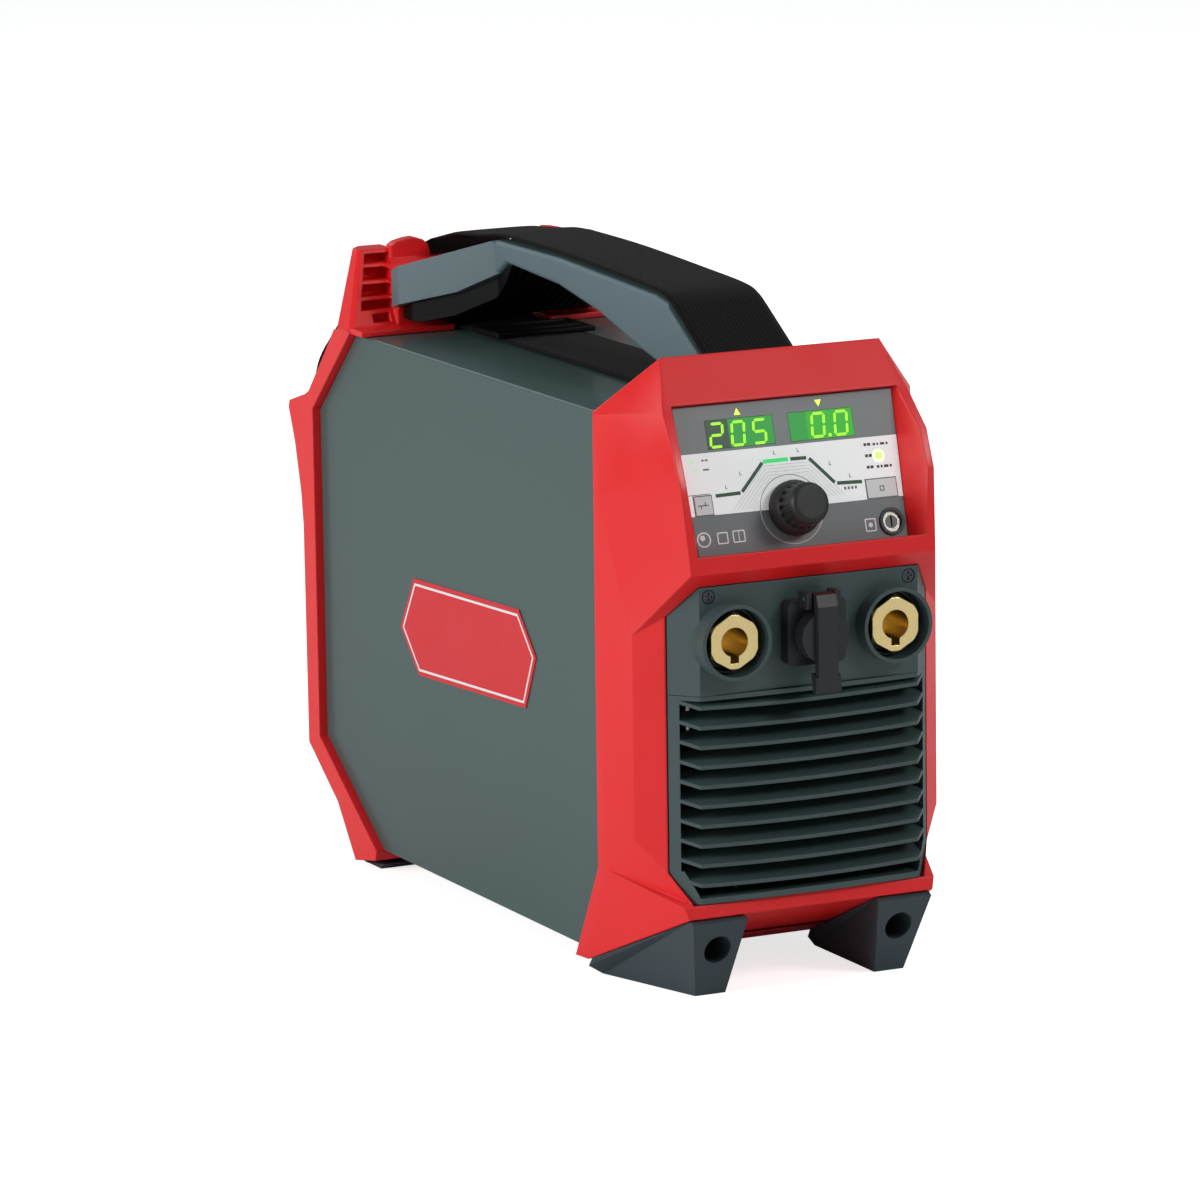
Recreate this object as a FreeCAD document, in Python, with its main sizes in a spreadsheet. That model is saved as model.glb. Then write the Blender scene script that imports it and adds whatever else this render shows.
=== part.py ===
import FreeCAD, Part
import Sketcher
import math
import os

# TIG welding machine: portable inverter power source.
# Frame: millimetres, +Z up, floor at z = 0, x = 0 on the centre plane.
# The control panel and sockets face -Y (front), the mains side faces +Y (rear).

os.makedirs("parts", exist_ok=True)
Vector = FreeCAD.Vector
Placement = FreeCAD.Placement
Rotation = FreeCAD.Rotation
doc = FreeCAD.newDocument("tig_welding_machine")
sheet = doc.addObject("Spreadsheet::Sheet", "Dimensions")


# ---------------------------------------------------------------- driving dimensions
class Size:
    """A size read from the spreadsheet: its value and its expression."""

    def __init__(self, value, expression):
        self.value = float(value)
        self.expression = expression

    def __add__(self, other):
        return Size(self.value + number(other), "(%s + %s)" % (self.expression, text(other)))

    __radd__ = __add__

    def __sub__(self, other):
        return Size(self.value - number(other), "(%s - %s)" % (self.expression, text(other)))

    def __rsub__(self, other):
        return Size(number(other) - self.value, "(%s - %s)" % (text(other), self.expression))

    def __mul__(self, other):
        return Size(self.value * number(other), "(%s * %s)" % (self.expression, text(other)))

    def __neg__(self):
        return Size(-self.value, "(-1 * %s)" % self.expression)


def number(size):
    return size.value if isinstance(size, Size) else float(size)


def text(size):
    return size.expression if isinstance(size, Size) else repr(float(size))


ALIASES = []


def dim(alias, value):
    """Write a driving dimension to the next spreadsheet row."""
    ALIASES.append(alias)
    row = len(ALIASES)
    sheet.set("A%d" % row, alias)
    sheet.set("B%d" % row, repr(float(value)))
    sheet.setAlias("B%d" % row, alias)
    return Size(value, "Dimensions." + alias)


# housing and frames
SIDE_X = dim("side_half_width", 76.0)       # outer face of the side panels
SHEET = dim("sheet_thickness", 1.2)
COVER_TOP = dim("cover_top", 262.0)
COVER_BOTTOM = dim("cover_bottom", 12.0)
COVER_FRONT = dim("cover_front", -133.0)
COVER_REAR = dim("cover_rear", 176.8)
TRAY_FRONT = dim("tray_front", -110)
TRAY_REAR = dim("tray_rear", 110)
TRAY_Z = dim("tray_z", 12.2)
COVER_SCREW_HEAD_R = dim("cover_screw_head_r", 3.6)
COVER_SCREW_R = dim("cover_screw_r", 1.5)
FRAME_X = dim("frame_half_width", 80.0)
HANDLE_X = dim("handle_half_width", 24.4)
# socket plate, sockets and control connector
SOCKET_X = dim("socket_spacing_half", 40.6)
SOCKET_Z = dim("socket_height", 164.3)
PLATE_THICKNESS = dim("socket_plate_thickness", 3.0)
COLLAR_R = dim("collar_r", 17.3)
COLLAR_INNER_R = dim("collar_inner_r", 15.5)
PLATE_SCREW_HEAD_R = dim("plate_screw_head_r", 2.9)
PLATE_SCREW_R = dim("plate_screw_r", 1.4)
LOUVRE_PITCH = dim("louvre_pitch", 9.0)
SOCKET_BODY_R = dim("socket_body_r", 10.4)
SOCKET_BORE_R = dim("socket_bore_r", 6.6)
SOCKET_KEY_DEPTH = dim("socket_key_depth", 9.6)
INSULATOR_R = dim("insulator_r", 15.3)
INSERT_R = dim("insert_r", 9.2)
HINGE_PIN_R = dim("hinge_pin_r", 1.1)
CAP_R = dim("cap_r", 11.7)
# control panel
PANEL_TILT = dim("panel_tilt", 72.57)       # rotation that stands the panel up
PANEL_FOOT_Y = dim("panel_foot_y", -183.9)
PANEL_FOOT_Z = dim("panel_foot_z", 202.0)
KNOB_X = dim("knob_x", -3.4)
KNOB_Y = dim("knob_t", 17.4)                # up the panel from its foot
ENCODER_SHAFT_R = dim("encoder_shaft_r", 3.0)
FLUTE_R = dim("flute_r", 1.1)
LOCK_R = dim("lock_r", 6.2)
LOCK_BARREL_R = dim("lock_barrel_r", 4.7)
# rear fittings
FAN_Z = dim("fan_centre_z", 116.0)
INLET_R = dim("inlet_r", 48.0)
ROCKER_PIN_R = dim("rocker_pin_r", 1.5)
GAS_INLET_R = dim("gas_inlet_r", 6.0)
PLUNGER_R = dim("plunger_r", 4.0)
# power section
BOARD_FRONT = dim("board_front", -100.0)
BOARD_REAR = dim("board_rear", 96.0)
CAPACITOR_R = dim("capacitor_r", 15.0)
CHOKE_R = dim("choke_r", 27.0)

# Places shared by several pieces
SIDES = (-1, 1)                             # sign of x
COVER_SCREWS = [(-95, 22), (90, 22)]        # (y, z)
PLATE_SCREW_X, PLATE_SCREW_Z = 50.4, 184.6
HANDLE_FRONT_SCREW_X, HANDLE_FRONT_SCREW_Z = 14.0, 272.0
HANDLE_REAR_SCREW_X, HANDLE_REAR_SCREW_Z = 30.0, 281.0
HINGE = (-199.0, 181.6)                     # (y, z)
INSERT = (0, 164.8)                         # (x, z)
CAP = (0, 164.2)                            # (x, z)
LOCK_X, LOCK_Y = 45.6, 7.2                  # on the panel plane
GLAND = (46.0, 190.0)                       # (x, z)
GAS = (0.0, 192.0)                          # (x, z)
VALVE = (0, 149.0)                          # (x, y)
ROCKER_PIN = (171.0, 190.0)                 # (y, z)
CHOKE_CENTRE = (34.0, 52.0)                 # (x, z)
BOARD_PILLARS = [(x, y) for x in (-58, 58) for y in (-92, 88)]


# ---------------------------------------------------------------- document objects
def new(kind, stem):
    """Add an object whose name ends in a running number."""
    new.count += 1
    return doc.addObject(kind, "%s_%03d" % (stem, new.count))


new.count = 0


def bind(obj, prop, size):
    if isinstance(size, Size):
        obj.setExpression(prop, size.expression)


def set_size(obj, prop, size):
    setattr(obj, prop, number(size))
    bind(obj, prop, size)


def place(obj, x=0, y=0, z=0, axis=None, angle=0):
    rotation = Rotation(Vector(*axis), number(angle)) if axis else Rotation()
    obj.Placement = Placement(Vector(number(x), number(y), number(z)), rotation)
    for name, size in (("x", x), ("y", y), ("z", z)):
        bind(obj, "Placement.Base." + name, size)
    if axis:
        bind(obj, "Placement.Rotation.Angle", angle)
    return obj


def at(x, y, z):
    """Placement that only shifts."""
    return Placement(Vector(x, y, z), Rotation())


def box(x0, x1, y0, y1, z0, z1):
    """Box between two corners."""
    block = new("Part::Box", "Box")
    set_size(block, "Length", x1 - x0)
    set_size(block, "Width", y1 - y0)
    set_size(block, "Height", z1 - z0)
    return place(block, x0, y0, z0)


def cyl(axis, centre, radius, start, end):
    """Cylinder along 'x', 'y' or 'z'. The centre is the other two coordinates:
    (y, z), (x, z) or (x, y)."""
    rod = new("Part::Cylinder", "Cyl")
    set_size(rod, "Radius", radius)
    set_size(rod, "Height", end - start)
    first, second = centre
    if axis == "z":
        return place(rod, first, second, start)
    if axis == "y":
        return place(rod, first, start, second, (1, 0, 0), -90)
    return place(rod, start, first, second, (0, 1, 0), 90)


def fuse(*objs):
    result = new("Part::MultiFuse", "Fuse")
    result.Shapes = list(objs)
    result.Refine = True
    return result


def cut(base, *tools):
    result = new("Part::Cut", "Cut")
    result.Base = base
    result.Tool = tools[0] if len(tools) == 1 else fuse(*tools)
    result.Refine = True
    return result


def common(first, second):
    result = new("Part::MultiCommon", "Common")
    result.Shapes = [first, second]
    result.Refine = True
    return result


def group(*objs):
    """Separate pieces kept in one node."""
    result = new("Part::Compound", "Group")
    result.Links = list(objs)
    return result


def fillet_edges(base, radius, wanted):
    """Round the edges whose bounding box passes the test."""
    doc.recompute()
    picked = [i + 1 for i, edge in enumerate(base.Shape.Edges) if wanted(edge.BoundBox)]
    rounded = new("Part::Fillet", "Fillet")
    rounded.Base = base
    rounded.Edges = [(i, radius, radius) for i in picked]
    return rounded


# ---------------------------------------------------------------- sketched bodies
def bind_constraint(sk, index, sign, size):
    if isinstance(size, Size):
        sk.setExpression("Constraints[%d]" % index, sign + size.expression)


def pin(sk, geometry, point, position):
    """Fix a sketch point by its distances from the origin, which must not be negative."""
    for kind, size in zip(("DistanceX", "DistanceY"), position):
        if number(size) < 0:
            ends, sign = (geometry, point, -1, 1), "-1 * "
        else:
            ends, sign = (-1, 1, geometry, point), ""
        index = sk.addConstraint(Sketcher.Constraint(kind, *ends, abs(number(size))))
        bind_constraint(sk, index, sign, size)


def add_loop(sk, points, start):
    """Closed run of lines; returns the next free geometry index."""
    count = len(points)
    flat = [Vector(number(x), number(y), 0) for x, y in points]
    for i in range(count):
        sk.addGeometry(Part.LineSegment(flat[i], flat[(i + 1) % count]), False)
    for i in range(count):
        following = start + (i + 1) % count
        sk.addConstraint(Sketcher.Constraint("Coincident", start + i, 2, following, 1))
    for i in range(count):
        pin(sk, start + i, 1, points[i])
    return start + count


def sketch(body, plane, loops, circles=()):
    sk = body.newObject("Sketcher::SketchObject", "Sketch")
    support = [f for f in body.Origin.OriginFeatures if f.Role == plane + "_Plane"][0]
    sk.AttachmentSupport = [(support, "")]
    sk.MapMode = "FlatFace"
    index = 0
    for points in loops:
        index = add_loop(sk, points, index)
    for x, y, radius in circles:
        centre = Vector(number(x), number(y), 0)
        sk.addGeometry(Part.Circle(centre, Vector(0, 0, 1), number(radius)), False)
        constraint = sk.addConstraint(Sketcher.Constraint("Radius", index, number(radius)))
        bind_constraint(sk, constraint, "", radius)
        pin(sk, index, 3, (x, y))
        index += 1
    return sk


def prism(plane, points, start, end, holes=(), circles=()):
    """Body: one sketch padded between two stations on the plane's normal.
    'XY': points are (x, y), stations are z.
    'YZ': points are (y, z), stations are x.
    'XZ': points are (x, z), stations are y."""
    body = new("PartDesign::Body", "Body")
    profile = sketch(body, plane, [points] + list(holes), circles)
    pad = body.newObject("PartDesign::Pad", "Pad")
    pad.Profile = profile
    set_size(pad, "Length", end - start)
    if plane == "XZ":
        pad.Reversed = True
        return place(body, 0, start, 0)
    if plane == "YZ":
        return place(body, start, 0, 0)
    return place(body, 0, 0, start)


def turned(points):
    """Body: half profile (radius, height) turned about the Z axis."""
    body = new("PartDesign::Body", "Body")
    profile = sketch(body, "XZ", [points])
    revolution = body.newObject("PartDesign::Revolution", "Rev")
    revolution.Profile = profile
    revolution.ReferenceAxis = (profile, ["V_Axis"])
    revolution.Angle = 360
    return body


def rect(x0, x1, y0, y1):
    return [(x0, y0), (x1, y0), (x1, y1), (x0, y1)]


def hexagon(x, z, radius, first_angle):
    angles = [math.radians(first_angle + 60 * i) for i in range(6)]
    return [(x + radius * math.cos(a), z + radius * math.sin(a)) for a in angles]


def reflected(points):
    """The same outline points at -x, in reverse order."""
    return [(-x, other) for x, other in reversed(points)]


def both_sides(points):
    return points + reflected(points)


# ---------------------------------------------------------------- free shapes
def free(shape):
    feature = new("Part::Feature", "Form")
    feature.Shape = shape
    return feature


def polygon_face(points):
    return Part.Face(Part.makePolygon(points + [points[0]]))


def poly_solid(corners, faces):
    """Closed solid from corners; a face that is not flat is split into triangles."""
    made = []
    for face in faces:
        points = [Vector(*corners[key]) for key in face]
        flat = True
        if len(points) > 3:
            normal = (points[1] - points[0]).cross(points[2] - points[0])
            if normal.Length > 1e-9:
                normal.normalize()
                flat = all(abs((p - points[0]).dot(normal)) < 1e-6 for p in points[3:])
            else:
                flat = False
        if flat:
            made.append(polygon_face(points))
        else:
            for i in range(1, len(points) - 1):
                made.append(polygon_face([points[0], points[i], points[i + 1]]))
    solid = Part.Solid(Part.Shell(made))
    if solid.Volume < 0:
        solid.reverse()
    return solid


def mirrored(corners):
    """Add each corner again at -x, its name ending in an underscore."""
    full = dict(corners)
    for key, (x, y, z) in corners.items():
        full[key + "_"] = (-x, y, z)
    return full


def face_table(rows):
    """One face for each line, written as corner names."""
    return [row.split() for row in rows.strip().splitlines()]


def pipe(path, radius, bend):
    """Round tube or cable along a path with rounded corners."""
    points = [Vector(*p) for p in path]
    edges = []
    last = points[0]
    for i in range(1, len(points) - 1):
        back = points[i - 1] - points[i]
        ahead = points[i + 1] - points[i]
        back.normalize()
        ahead.normalize()
        angle = back.getAngle(ahead)
        setback = bend / math.tan(angle / 2.0)
        arc_start = points[i] + back * setback
        arc_end = points[i] + ahead * setback
        inward = back + ahead
        inward.normalize()
        arc_middle = points[i] + inward * (bend / math.sin(angle / 2.0) - bend)
        if (arc_start - last).Length > 1e-6:
            edges.append(Part.makeLine(last, arc_start))
        edges.append(Part.Arc(arc_start, arc_middle, arc_end).toShape())
        last = arc_end
    edges.append(Part.makeLine(last, points[-1]))
    section = Part.Wire([Part.makeCircle(radius, points[0], points[1] - points[0])])
    return free(Part.Wire(edges).makePipeShell([section], True, False))


# ---------------------------------------------------------------- housing
def housing_cover():
    """Folded sheet: two sides and a top, with clipped corners."""
    inside_x = SIDE_X - SHEET
    inside_z = COVER_TOP - SHEET
    length = COVER_REAR - COVER_FRONT
    section = [(-SIDE_X, COVER_BOTTOM), (-inside_x, COVER_BOTTOM), (-inside_x, inside_z),
               (inside_x, inside_z), (inside_x, COVER_BOTTOM), (SIDE_X, COVER_BOTTOM),
               (SIDE_X, COVER_TOP), (-SIDE_X, COVER_TOP)]
    cover = prism("XZ", [*section], COVER_FRONT, COVER_REAR)
    # clipped corners: (distance behind the cover front, z)
    end = number(length)
    corners = [[(-2, 58.3), (-2, 3), (27.7, 3)],
               [(end + 2, 58.2), (234.5, 5), (end + 2, 5)],
               [(264.0, 262.0), (end, 219.2), (end + 2, 219.2), (end + 2, 268), (264, 268)]]
    clips = sketch(cover, "YZ", corners)
    pocket = cover.newObject("PartDesign::Pocket", "Pocket")
    pocket.Profile = clips
    pocket.Type = 1
    pocket.Midplane = True
    doc.recompute()
    # the two long outer edges of the top
    edges = []
    for i, edge in enumerate(pocket.Shape.Edges):
        bounds = edge.BoundBox
        along_y = bounds.YLength > 200 and bounds.XLength < 0.01 and bounds.ZLength < 0.01
        outer = abs(abs(bounds.XMin) - number(SIDE_X)) < 0.01
        if along_y and outer and abs(bounds.ZMin - number(COVER_TOP)) < 0.01:
            edges.append("Edge%d" % (i + 1))
    fillet = cover.newObject("PartDesign::Fillet", "Fillet")
    fillet.Base = (pocket, edges)
    fillet.Radius = 1.1
    # screw holes in the +X side only
    return cut(cover, *[cyl("x", centre, 2.2, 60, 80) for centre in COVER_SCREWS])


def base_tray():
    """Flat floor with two turned-up sides, two raised pads and an earth stud."""
    outside, inside = SIDE_X - 1.35, SIDE_X - 2.85
    tray = cut(box(-outside, outside, TRAY_FRONT, TRAY_REAR, TRAY_Z, 34),
               box(-inside, inside, -112, 112, 13.7, 36))
    tray = cut(tray, *[cyl("x", centre, 1.55, 60, 80) for centre in COVER_SCREWS])
    return fuse(tray,
                box(-62.0, -10.0, -66.0, -14.0, 13.0, 19.9),
                box(16.0, 52.0, -64.0, -32.0, 13.0, 21.5),
                cyl("z", (60.0, 100.0), 2.4, 13.0, 30.0),
                cyl("z", (60.0, 100.0), 4.6, 13.0, 17.0))


# ---------------------------------------------------------------- front frame
# Corners on the +X half: (x, y, z). The rim meets the cover, the mouth
# surrounds the socket plate and grille.
frame_x = number(FRAME_X)
OUTER_CORNERS = dict(
    rim_top=(frame_x - 0.4, -133.0, 262.4), rim_peak=(45.0, -133.0, 281.2),
    rim_low=(frame_x, -133.0, 53.6), rim_foot=(frame_x, -108.5, 8.0),
    shoulder=(frame_x - 0.7, -138.0, 261.6), side_high=(frame_x, -139.0, 222.0),
    side_low=(frame_x - 0.4, -141.0, 54.5), heel=(frame_x - 0.2, -121.0, 8.6),
    hood_top=(55.3, -152.8, 287.6), hood_upper=(62.0, -168.0, 265.5),
    hood_middle=(63.8, -181.5, 250.0), hood_lower=(63.6, -188.6, 233.0),
    hood_bottom=(61.5, -193.5, 196.0), cheek_high=(77.1, -165.0, 165.8),
    cheek_low=(77.1, -165.0, 72.2), mouth_bottom=(58.5, -187.3, 44.4),
    lip=(63.4, -187.0, 44.2), lip_low=(61.8, -188.6, 38.6),
    mouth_low=(65.9, -176.0, 58.5), mouth_high=(65.9, -176.0, 175.2),
    mouth_top=(55.4, -188.0, 189.5))
INNER_CORNERS = dict(
    rim_top=(75.6, -136.0, 258.2), rim_peak=(45.0, -136.5, 277.6),
    rim_low=(76.2, -136.0, 56.0), rim_foot=(76.2, -113.5, 12.6),
    shoulder=(75.4, -138.6, 257.8), side_high=(76.2, -139.6, 222.0),
    side_low=(76.0, -141.4, 57.0), heel=(76.0, -122.0, 13.4),
    hood_top=(52.3, -151.2, 283.8), hood_upper=(58.4, -165.0, 263.4),
    hood_middle=(60.2, -178.0, 248.0), hood_lower=(60.0, -185.0, 232.0),
    hood_bottom=(58.2, -189.8, 199.0), cheek_high=(73.6, -163.4, 166.4),
    cheek_low=(73.6, -163.4, 70.6), mouth_bottom=(56.5, -183.9, 47.9),
    lip=(60.4, -183.6, 47.9), lip_low=(59.0, -184.6, 42.6),
    mouth_low=(63.4, -172.8, 60.4), mouth_high=(63.4, -172.8, 174.4),
    mouth_top=(53.4, -184.6, 186.6))
FRAME_FACES = face_table("""
    rim_top shoulder side_high
    rim_top side_high rim_low
    rim_low side_high side_low
    rim_low side_low heel
    rim_low heel rim_foot
    rim_top shoulder hood_top
    rim_top hood_top rim_peak
    shoulder side_high hood_upper
    shoulder hood_upper hood_top
    side_high hood_upper hood_middle
    side_high hood_middle hood_lower
    side_high hood_lower hood_bottom
    side_high hood_bottom cheek_high
    side_high cheek_high cheek_low
    side_high cheek_low side_low
    side_low cheek_low mouth_low
    side_low mouth_low mouth_bottom
    side_low mouth_bottom lip
    side_low lip lip_low
    side_low lip_low heel
    cheek_high cheek_low mouth_low
    cheek_high mouth_low mouth_high
    hood_bottom cheek_high mouth_high
    hood_bottom mouth_high mouth_top
    mouth_top mouth_high mouth_low
    mouth_top mouth_low mouth_bottom
    mouth_bottom lip lip_low
""")
# Corners joined straight across the centre plane, from the hood down to the rim
CENTRE_PATH = """hood_top hood_upper hood_middle hood_lower hood_bottom mouth_top
    mouth_bottom lip_low heel rim_foot rim_low""".split()

PANEL = Placement(Vector(0, number(PANEL_FOOT_Y), number(PANEL_FOOT_Z)),
                  Rotation(Vector(1, 0, 0), number(PANEL_TILT)))


def frame_body(corners):
    faces = FRAME_FACES + [[key + "_" for key in face] for face in FRAME_FACES]
    strips = list(zip(CENTRE_PATH, CENTRE_PATH[1:])) + [("rim_peak", "hood_top")]
    faces += [(a, a + "_", b + "_", b) for a, b in strips]
    faces.append(("rim_top", "rim_peak", "rim_peak_", "rim_top_", "rim_low_", "rim_low"))
    return poly_solid(mirrored(corners), faces)


PANEL_BLOCK_FACES = face_table("""
    near_low near_high near_high_ near_low_
    far_low far_high far_high_ far_low_
    near_low near_high far_high far_low
    near_low_ near_high_ far_high_ far_low_
    near_low near_low_ far_low_ far_low
    near_high near_high_ far_high_ far_high
""")


def panel_block(near, far):
    """Tapered block on the panel plane. Each end is
    (half width low, half width high, y low, y high, height off the panel)."""
    corners = {}
    for name, (x_low, x_high, y_low, y_high, height) in (("near", near), ("far", far)):
        corners[name + "_low"] = (x_low, y_low, height)
        corners[name + "_high"] = (x_high, y_high, height)
    block = poly_solid(mirrored(corners), PANEL_BLOCK_FACES)
    block.Placement = PANEL
    return block


def front_frame():
    """Hollow moulding with a flared recess for the leaning control panel."""
    outer = frame_body(OUTER_CORNERS)
    inner = frame_body(INNER_CORNERS)
    flare = panel_block((52.9, 55.5, -0.3, 67.8, -0.01), (69.9, 69.5, -2.3, 69.6, 30.0))
    flare_wall = panel_block((55.5, 58.1, -2.9, 70.4, -6.3), (72.5, 72.1, -4.9, 72.2, 30.0))
    seat = panel_block((52.9, 55.5, -0.3, 67.8, -3.65), (52.9, 55.5, -0.3, 67.8, 0.01))
    hole = panel_block((49.5, 52.0, 2.2, 65.0, -12.0), (49.5, 52.0, 2.2, 65.0, -3.0))
    mouth_keys = ("mouth_top", "mouth_high", "mouth_low", "mouth_bottom")
    mouth = both_sides([(OUTER_CORNERS[k][0], OUTER_CORNERS[k][2]) for k in mouth_keys])
    opening = polygon_face([Vector(x, -205, z) for x, z in mouth]).extrude(Vector(0, 60, 0))
    front = outer.cut(inner).fuse(flare_wall.common(outer))
    front = front.cut(flare).cut(seat).cut(hole).cut(opening)
    front = front.cut(Part.makeBox(144.6, 40, 242.5, Vector(-72.3, -142, 15.5)))
    # skirt that slides inside the cover
    skirt = Part.makeBox(148.8, 13, 204, Vector(-74.4, -135, 56.2))
    skirt = skirt.cut(Part.makeBox(144.6, 20, 205, Vector(-72.3, -138, 53.2)))
    front = front.fuse(skirt)
    # two holes in the back of the hood for the handle screws
    for side in SIDES:
        start = Vector(side * HANDLE_FRONT_SCREW_X, -142, HANDLE_FRONT_SCREW_Z)
        front = front.cut(Part.makeCylinder(2.6, 12, start, Vector(0, 1, 0)))
    # bosses behind the socket plate for its two screws
    for side in SIDES:
        x = side * PLATE_SCREW_X
        boss = Part.makeBox(6.5, 8.0, 8.0, Vector(x - 3.25, -180.2, 179.8))
        tie_x = 50.0 if side > 0 else -66.0
        tie = Part.makeBox(16.0, 5.0, 4.0, Vector(tie_x, -177.4, 186.0)).common(outer)
        front = front.fuse(boss).fuse(tie)
        start = Vector(x, -190, PLATE_SCREW_Z)
        front = front.cut(Part.makeCylinder(1.4, 20, start, Vector(0, 1, 0)))
    lock_hole = Part.makeCylinder(6.7, 14.0, Vector(LOCK_X, LOCK_Y, -17.0), Vector(0, 0, 1))
    lock_hole.Placement = PANEL
    return free(front.cut(lock_hole).removeSplitter())


# ---------------------------------------------------------------- socket plate and grille
def socket_plate():
    """Flat face with angled ends, two round collars and one square port."""
    back_y = number(-188.2 + PLATE_THICKNESS)
    plan = [(65.3, -176.4), (55.1, -188.2), (-55.1, -188.2), (-65.3, -176.4),
            (-65.3, -172.0), (-61.9, -172.0), (-61.9, -175.2), (-53.6, back_y),
            (53.6, back_y), (61.9, -175.2), (61.9, -172.0), (65.3, -172.0)]
    front_view = both_sides([(55.2, 189.2), (65.4, 175.3), (65.4, 139)])
    plate = common(prism("XY", plan, 139.9, 189.1), prism("XZ", front_view, -200, -160))
    collars = [cyl("y", (SOCKET_X * side, SOCKET_Z), COLLAR_R, -196.9, -187.0)
               for side in SIDES]
    plate = fuse(plate, *collars)
    cuts = []
    for side in SIDES:
        screw = (side * PLATE_SCREW_X, PLATE_SCREW_Z)
        cuts.append(cyl("y", (SOCKET_X * side, SOCKET_Z), COLLAR_INNER_R, -198, -180))
        cuts.append(cyl("y", screw, 1.75, -190, -180))
        cuts.append(cyl("y", screw, 3.3, -190, -186.6))
    cuts.append(box(-11.2, 11.2, -190, -180, 153.2, 177.4))
    return cut(plate, *cuts)


def front_grille():
    """Ten sloping blades between two angled stiles, with clipped lower corners."""
    bottom, top = 44.9, 139.7
    half_front = [(65.3, -176.4), (55.1, -187.7), (44, -188.5), (30, -189.3), (15, -189.8)]
    plan = (half_front + [(0, -190.0)] + reflected(half_front)
            + [(-65.3, -171.5), (65.3, -171.5)])
    stile = [(65.3, -176.4), (61.6, -180.5), (61.6, -171.5), (65.3, -171.5)]
    blades = []
    for i in range(10):
        z = 53.4 + LOUVRE_PITCH * i
        outline = [(-191.0, z - 0.2), (-191.0, z - 1.9), (-173.0, z + 3.8), (-173.0, z + 5.5)]
        blades.append(prism("YZ", outline, -64.0, 64.0))
    stiles = [prism("XY", stile, bottom, top),
              prism("XY", [(-x, y) for x, y in stile], bottom, top)]
    rails = [prism("XY", plan, bottom, 47.6), prism("XY", plan, 137.6, top)]
    blades = common(fuse(*blades), prism("XY", plan, bottom, top))
    webs = [box(x - 0.9, x + 0.9, -176.0, -173.2, 45.0, 139.0) for x in (-32.0, 32.0)]
    corners = []
    for side in SIDES:
        outline = [(side * 65.3, 59.6), (side * 60.6, 59.6), (side * 54.0, bottom),
                   (side * 58.2, bottom)]
        corners.append(prism("XZ", outline, -186.6, -173.0))
    grille = fuse(blades, *(stiles + rails + webs + corners))
    front_view = both_sides([(65.4, 140), (65.4, 58.9), (58.1, 44.8)])
    grille = common(grille, prism("XZ", front_view, -200, -160))
    return common(grille, prism("XY", plan, bottom, top))


# ---------------------------------------------------------------- current sockets
def current_socket(side):
    """Hexagon with a chamfered face, a round bore and a key slot."""
    x = SOCKET_X * side
    hexagon_head = prism("XZ", hexagon(number(x), number(SOCKET_Z), 13.45, 90),
                         -194.0, -184.0)
    chamfer = new("Part::Cone", "Cone")
    chamfer.Radius1 = 12.2
    chamfer.Radius2 = 24.2
    chamfer.Height = 12.0
    place(chamfer, x, -194.0, SOCKET_Z, (1, 0, 0), -90)
    head = common(hexagon_head, chamfer)
    body = fuse(head, cyl("y", (x, SOCKET_Z), SOCKET_BODY_R, -185.0, -148.0))
    bore = cyl("y", (x, SOCKET_Z), SOCKET_BORE_R, -196.0, -162.0)
    key = box(x - 2.1, x + 2.1, -196.0, -166.0, SOCKET_Z - SOCKET_KEY_DEPTH, SOCKET_Z)
    return cut(body, bore, key)


def socket_insulators():
    rings = []
    for side in SIDES:
        centre = (SOCKET_X * side, SOCKET_Z)
        rings.append(cut(cyl("y", centre, INSULATOR_R, -188.6, -172.0),
                         cyl("y", centre, 10.5, -200.0, -160.0),
                         cyl("y", centre, 13.8, -200.0, -183.9)))
    return group(*rings)


# ---------------------------------------------------------------- control connector
def control_connector_housing():
    """Rounded flange and square barrel with two hinge lugs on top."""
    flange = fillet_edges(box(-14.6, 14.6, -195.5, -188.3, 150.6, 180.1), 3.2,
                          lambda bounds: bounds.YLength > 5)
    barrel = box(-11.0, 11.0, -189.0, -174.0, 153.4, 177.2)
    lugs = [box(x0, x1, -202.0, -194.0, 177.0, 184.4) for x0, x1 in ((-8.6, -5.8), (5.8, 8.6))]
    return cut(fuse(flange, barrel, *lugs),
               cyl("y", INSERT, 9.3, -200.0, -170.0),
               cyl("x", HINGE, 1.12, -20, 20))


def control_connector_insert():
    """Round insert with five pin holes."""
    insert = cyl("y", INSERT, INSERT_R, -191.0, -172.0)
    holes = []
    for i in range(5):
        angle = math.radians(90 + 72 * i)
        centre = (4.6 * math.cos(angle), INSERT[1] + 4.6 * math.sin(angle))
        holes.append(cyl("y", centre, 1.1, -192.0, -186.0))
    return cut(insert, *holes)


def connector_cap():
    """Hinged cap: hollow disc, tongue, hinge arm at the top, grip at the bottom."""
    disc = cyl("y", CAP, CAP_R, -204.0, -195.9)
    hollow = cyl("y", CAP, 9.6, -198.5, -195.0)
    tongue = box(-5.0, 5.0, -206.4, -203.0, 139.4, 178.4)
    grip = prism("YZ", [(-206.4, 139.4), (-206.4, 146.0), (-203.2, 148.5), (-201.6, 148.0),
                        (-203.4, 139.4)], -6.4, 6.4)
    arm = prism("YZ", [(-206.4, 178.0), (-204.4, 183.6), (-199.0, 184.1), (-196.6, 182.2),
                       (-196.6, 180.6), (-200.6, 179.4), (-203.0, 176.0), (-206.4, 176.0)],
                -5.0, 5.0)
    return cut(fuse(disc, tongue, arm, grip), hollow, cyl("x", HINGE, 1.14, -20, 20))


# ---------------------------------------------------------------- control panel
# Drawn flat: x across, y up the panel, z out of its face.
PANEL_OUTLINE = both_sides([(52.6, 0.1), (55.2, 67.3)])
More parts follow.
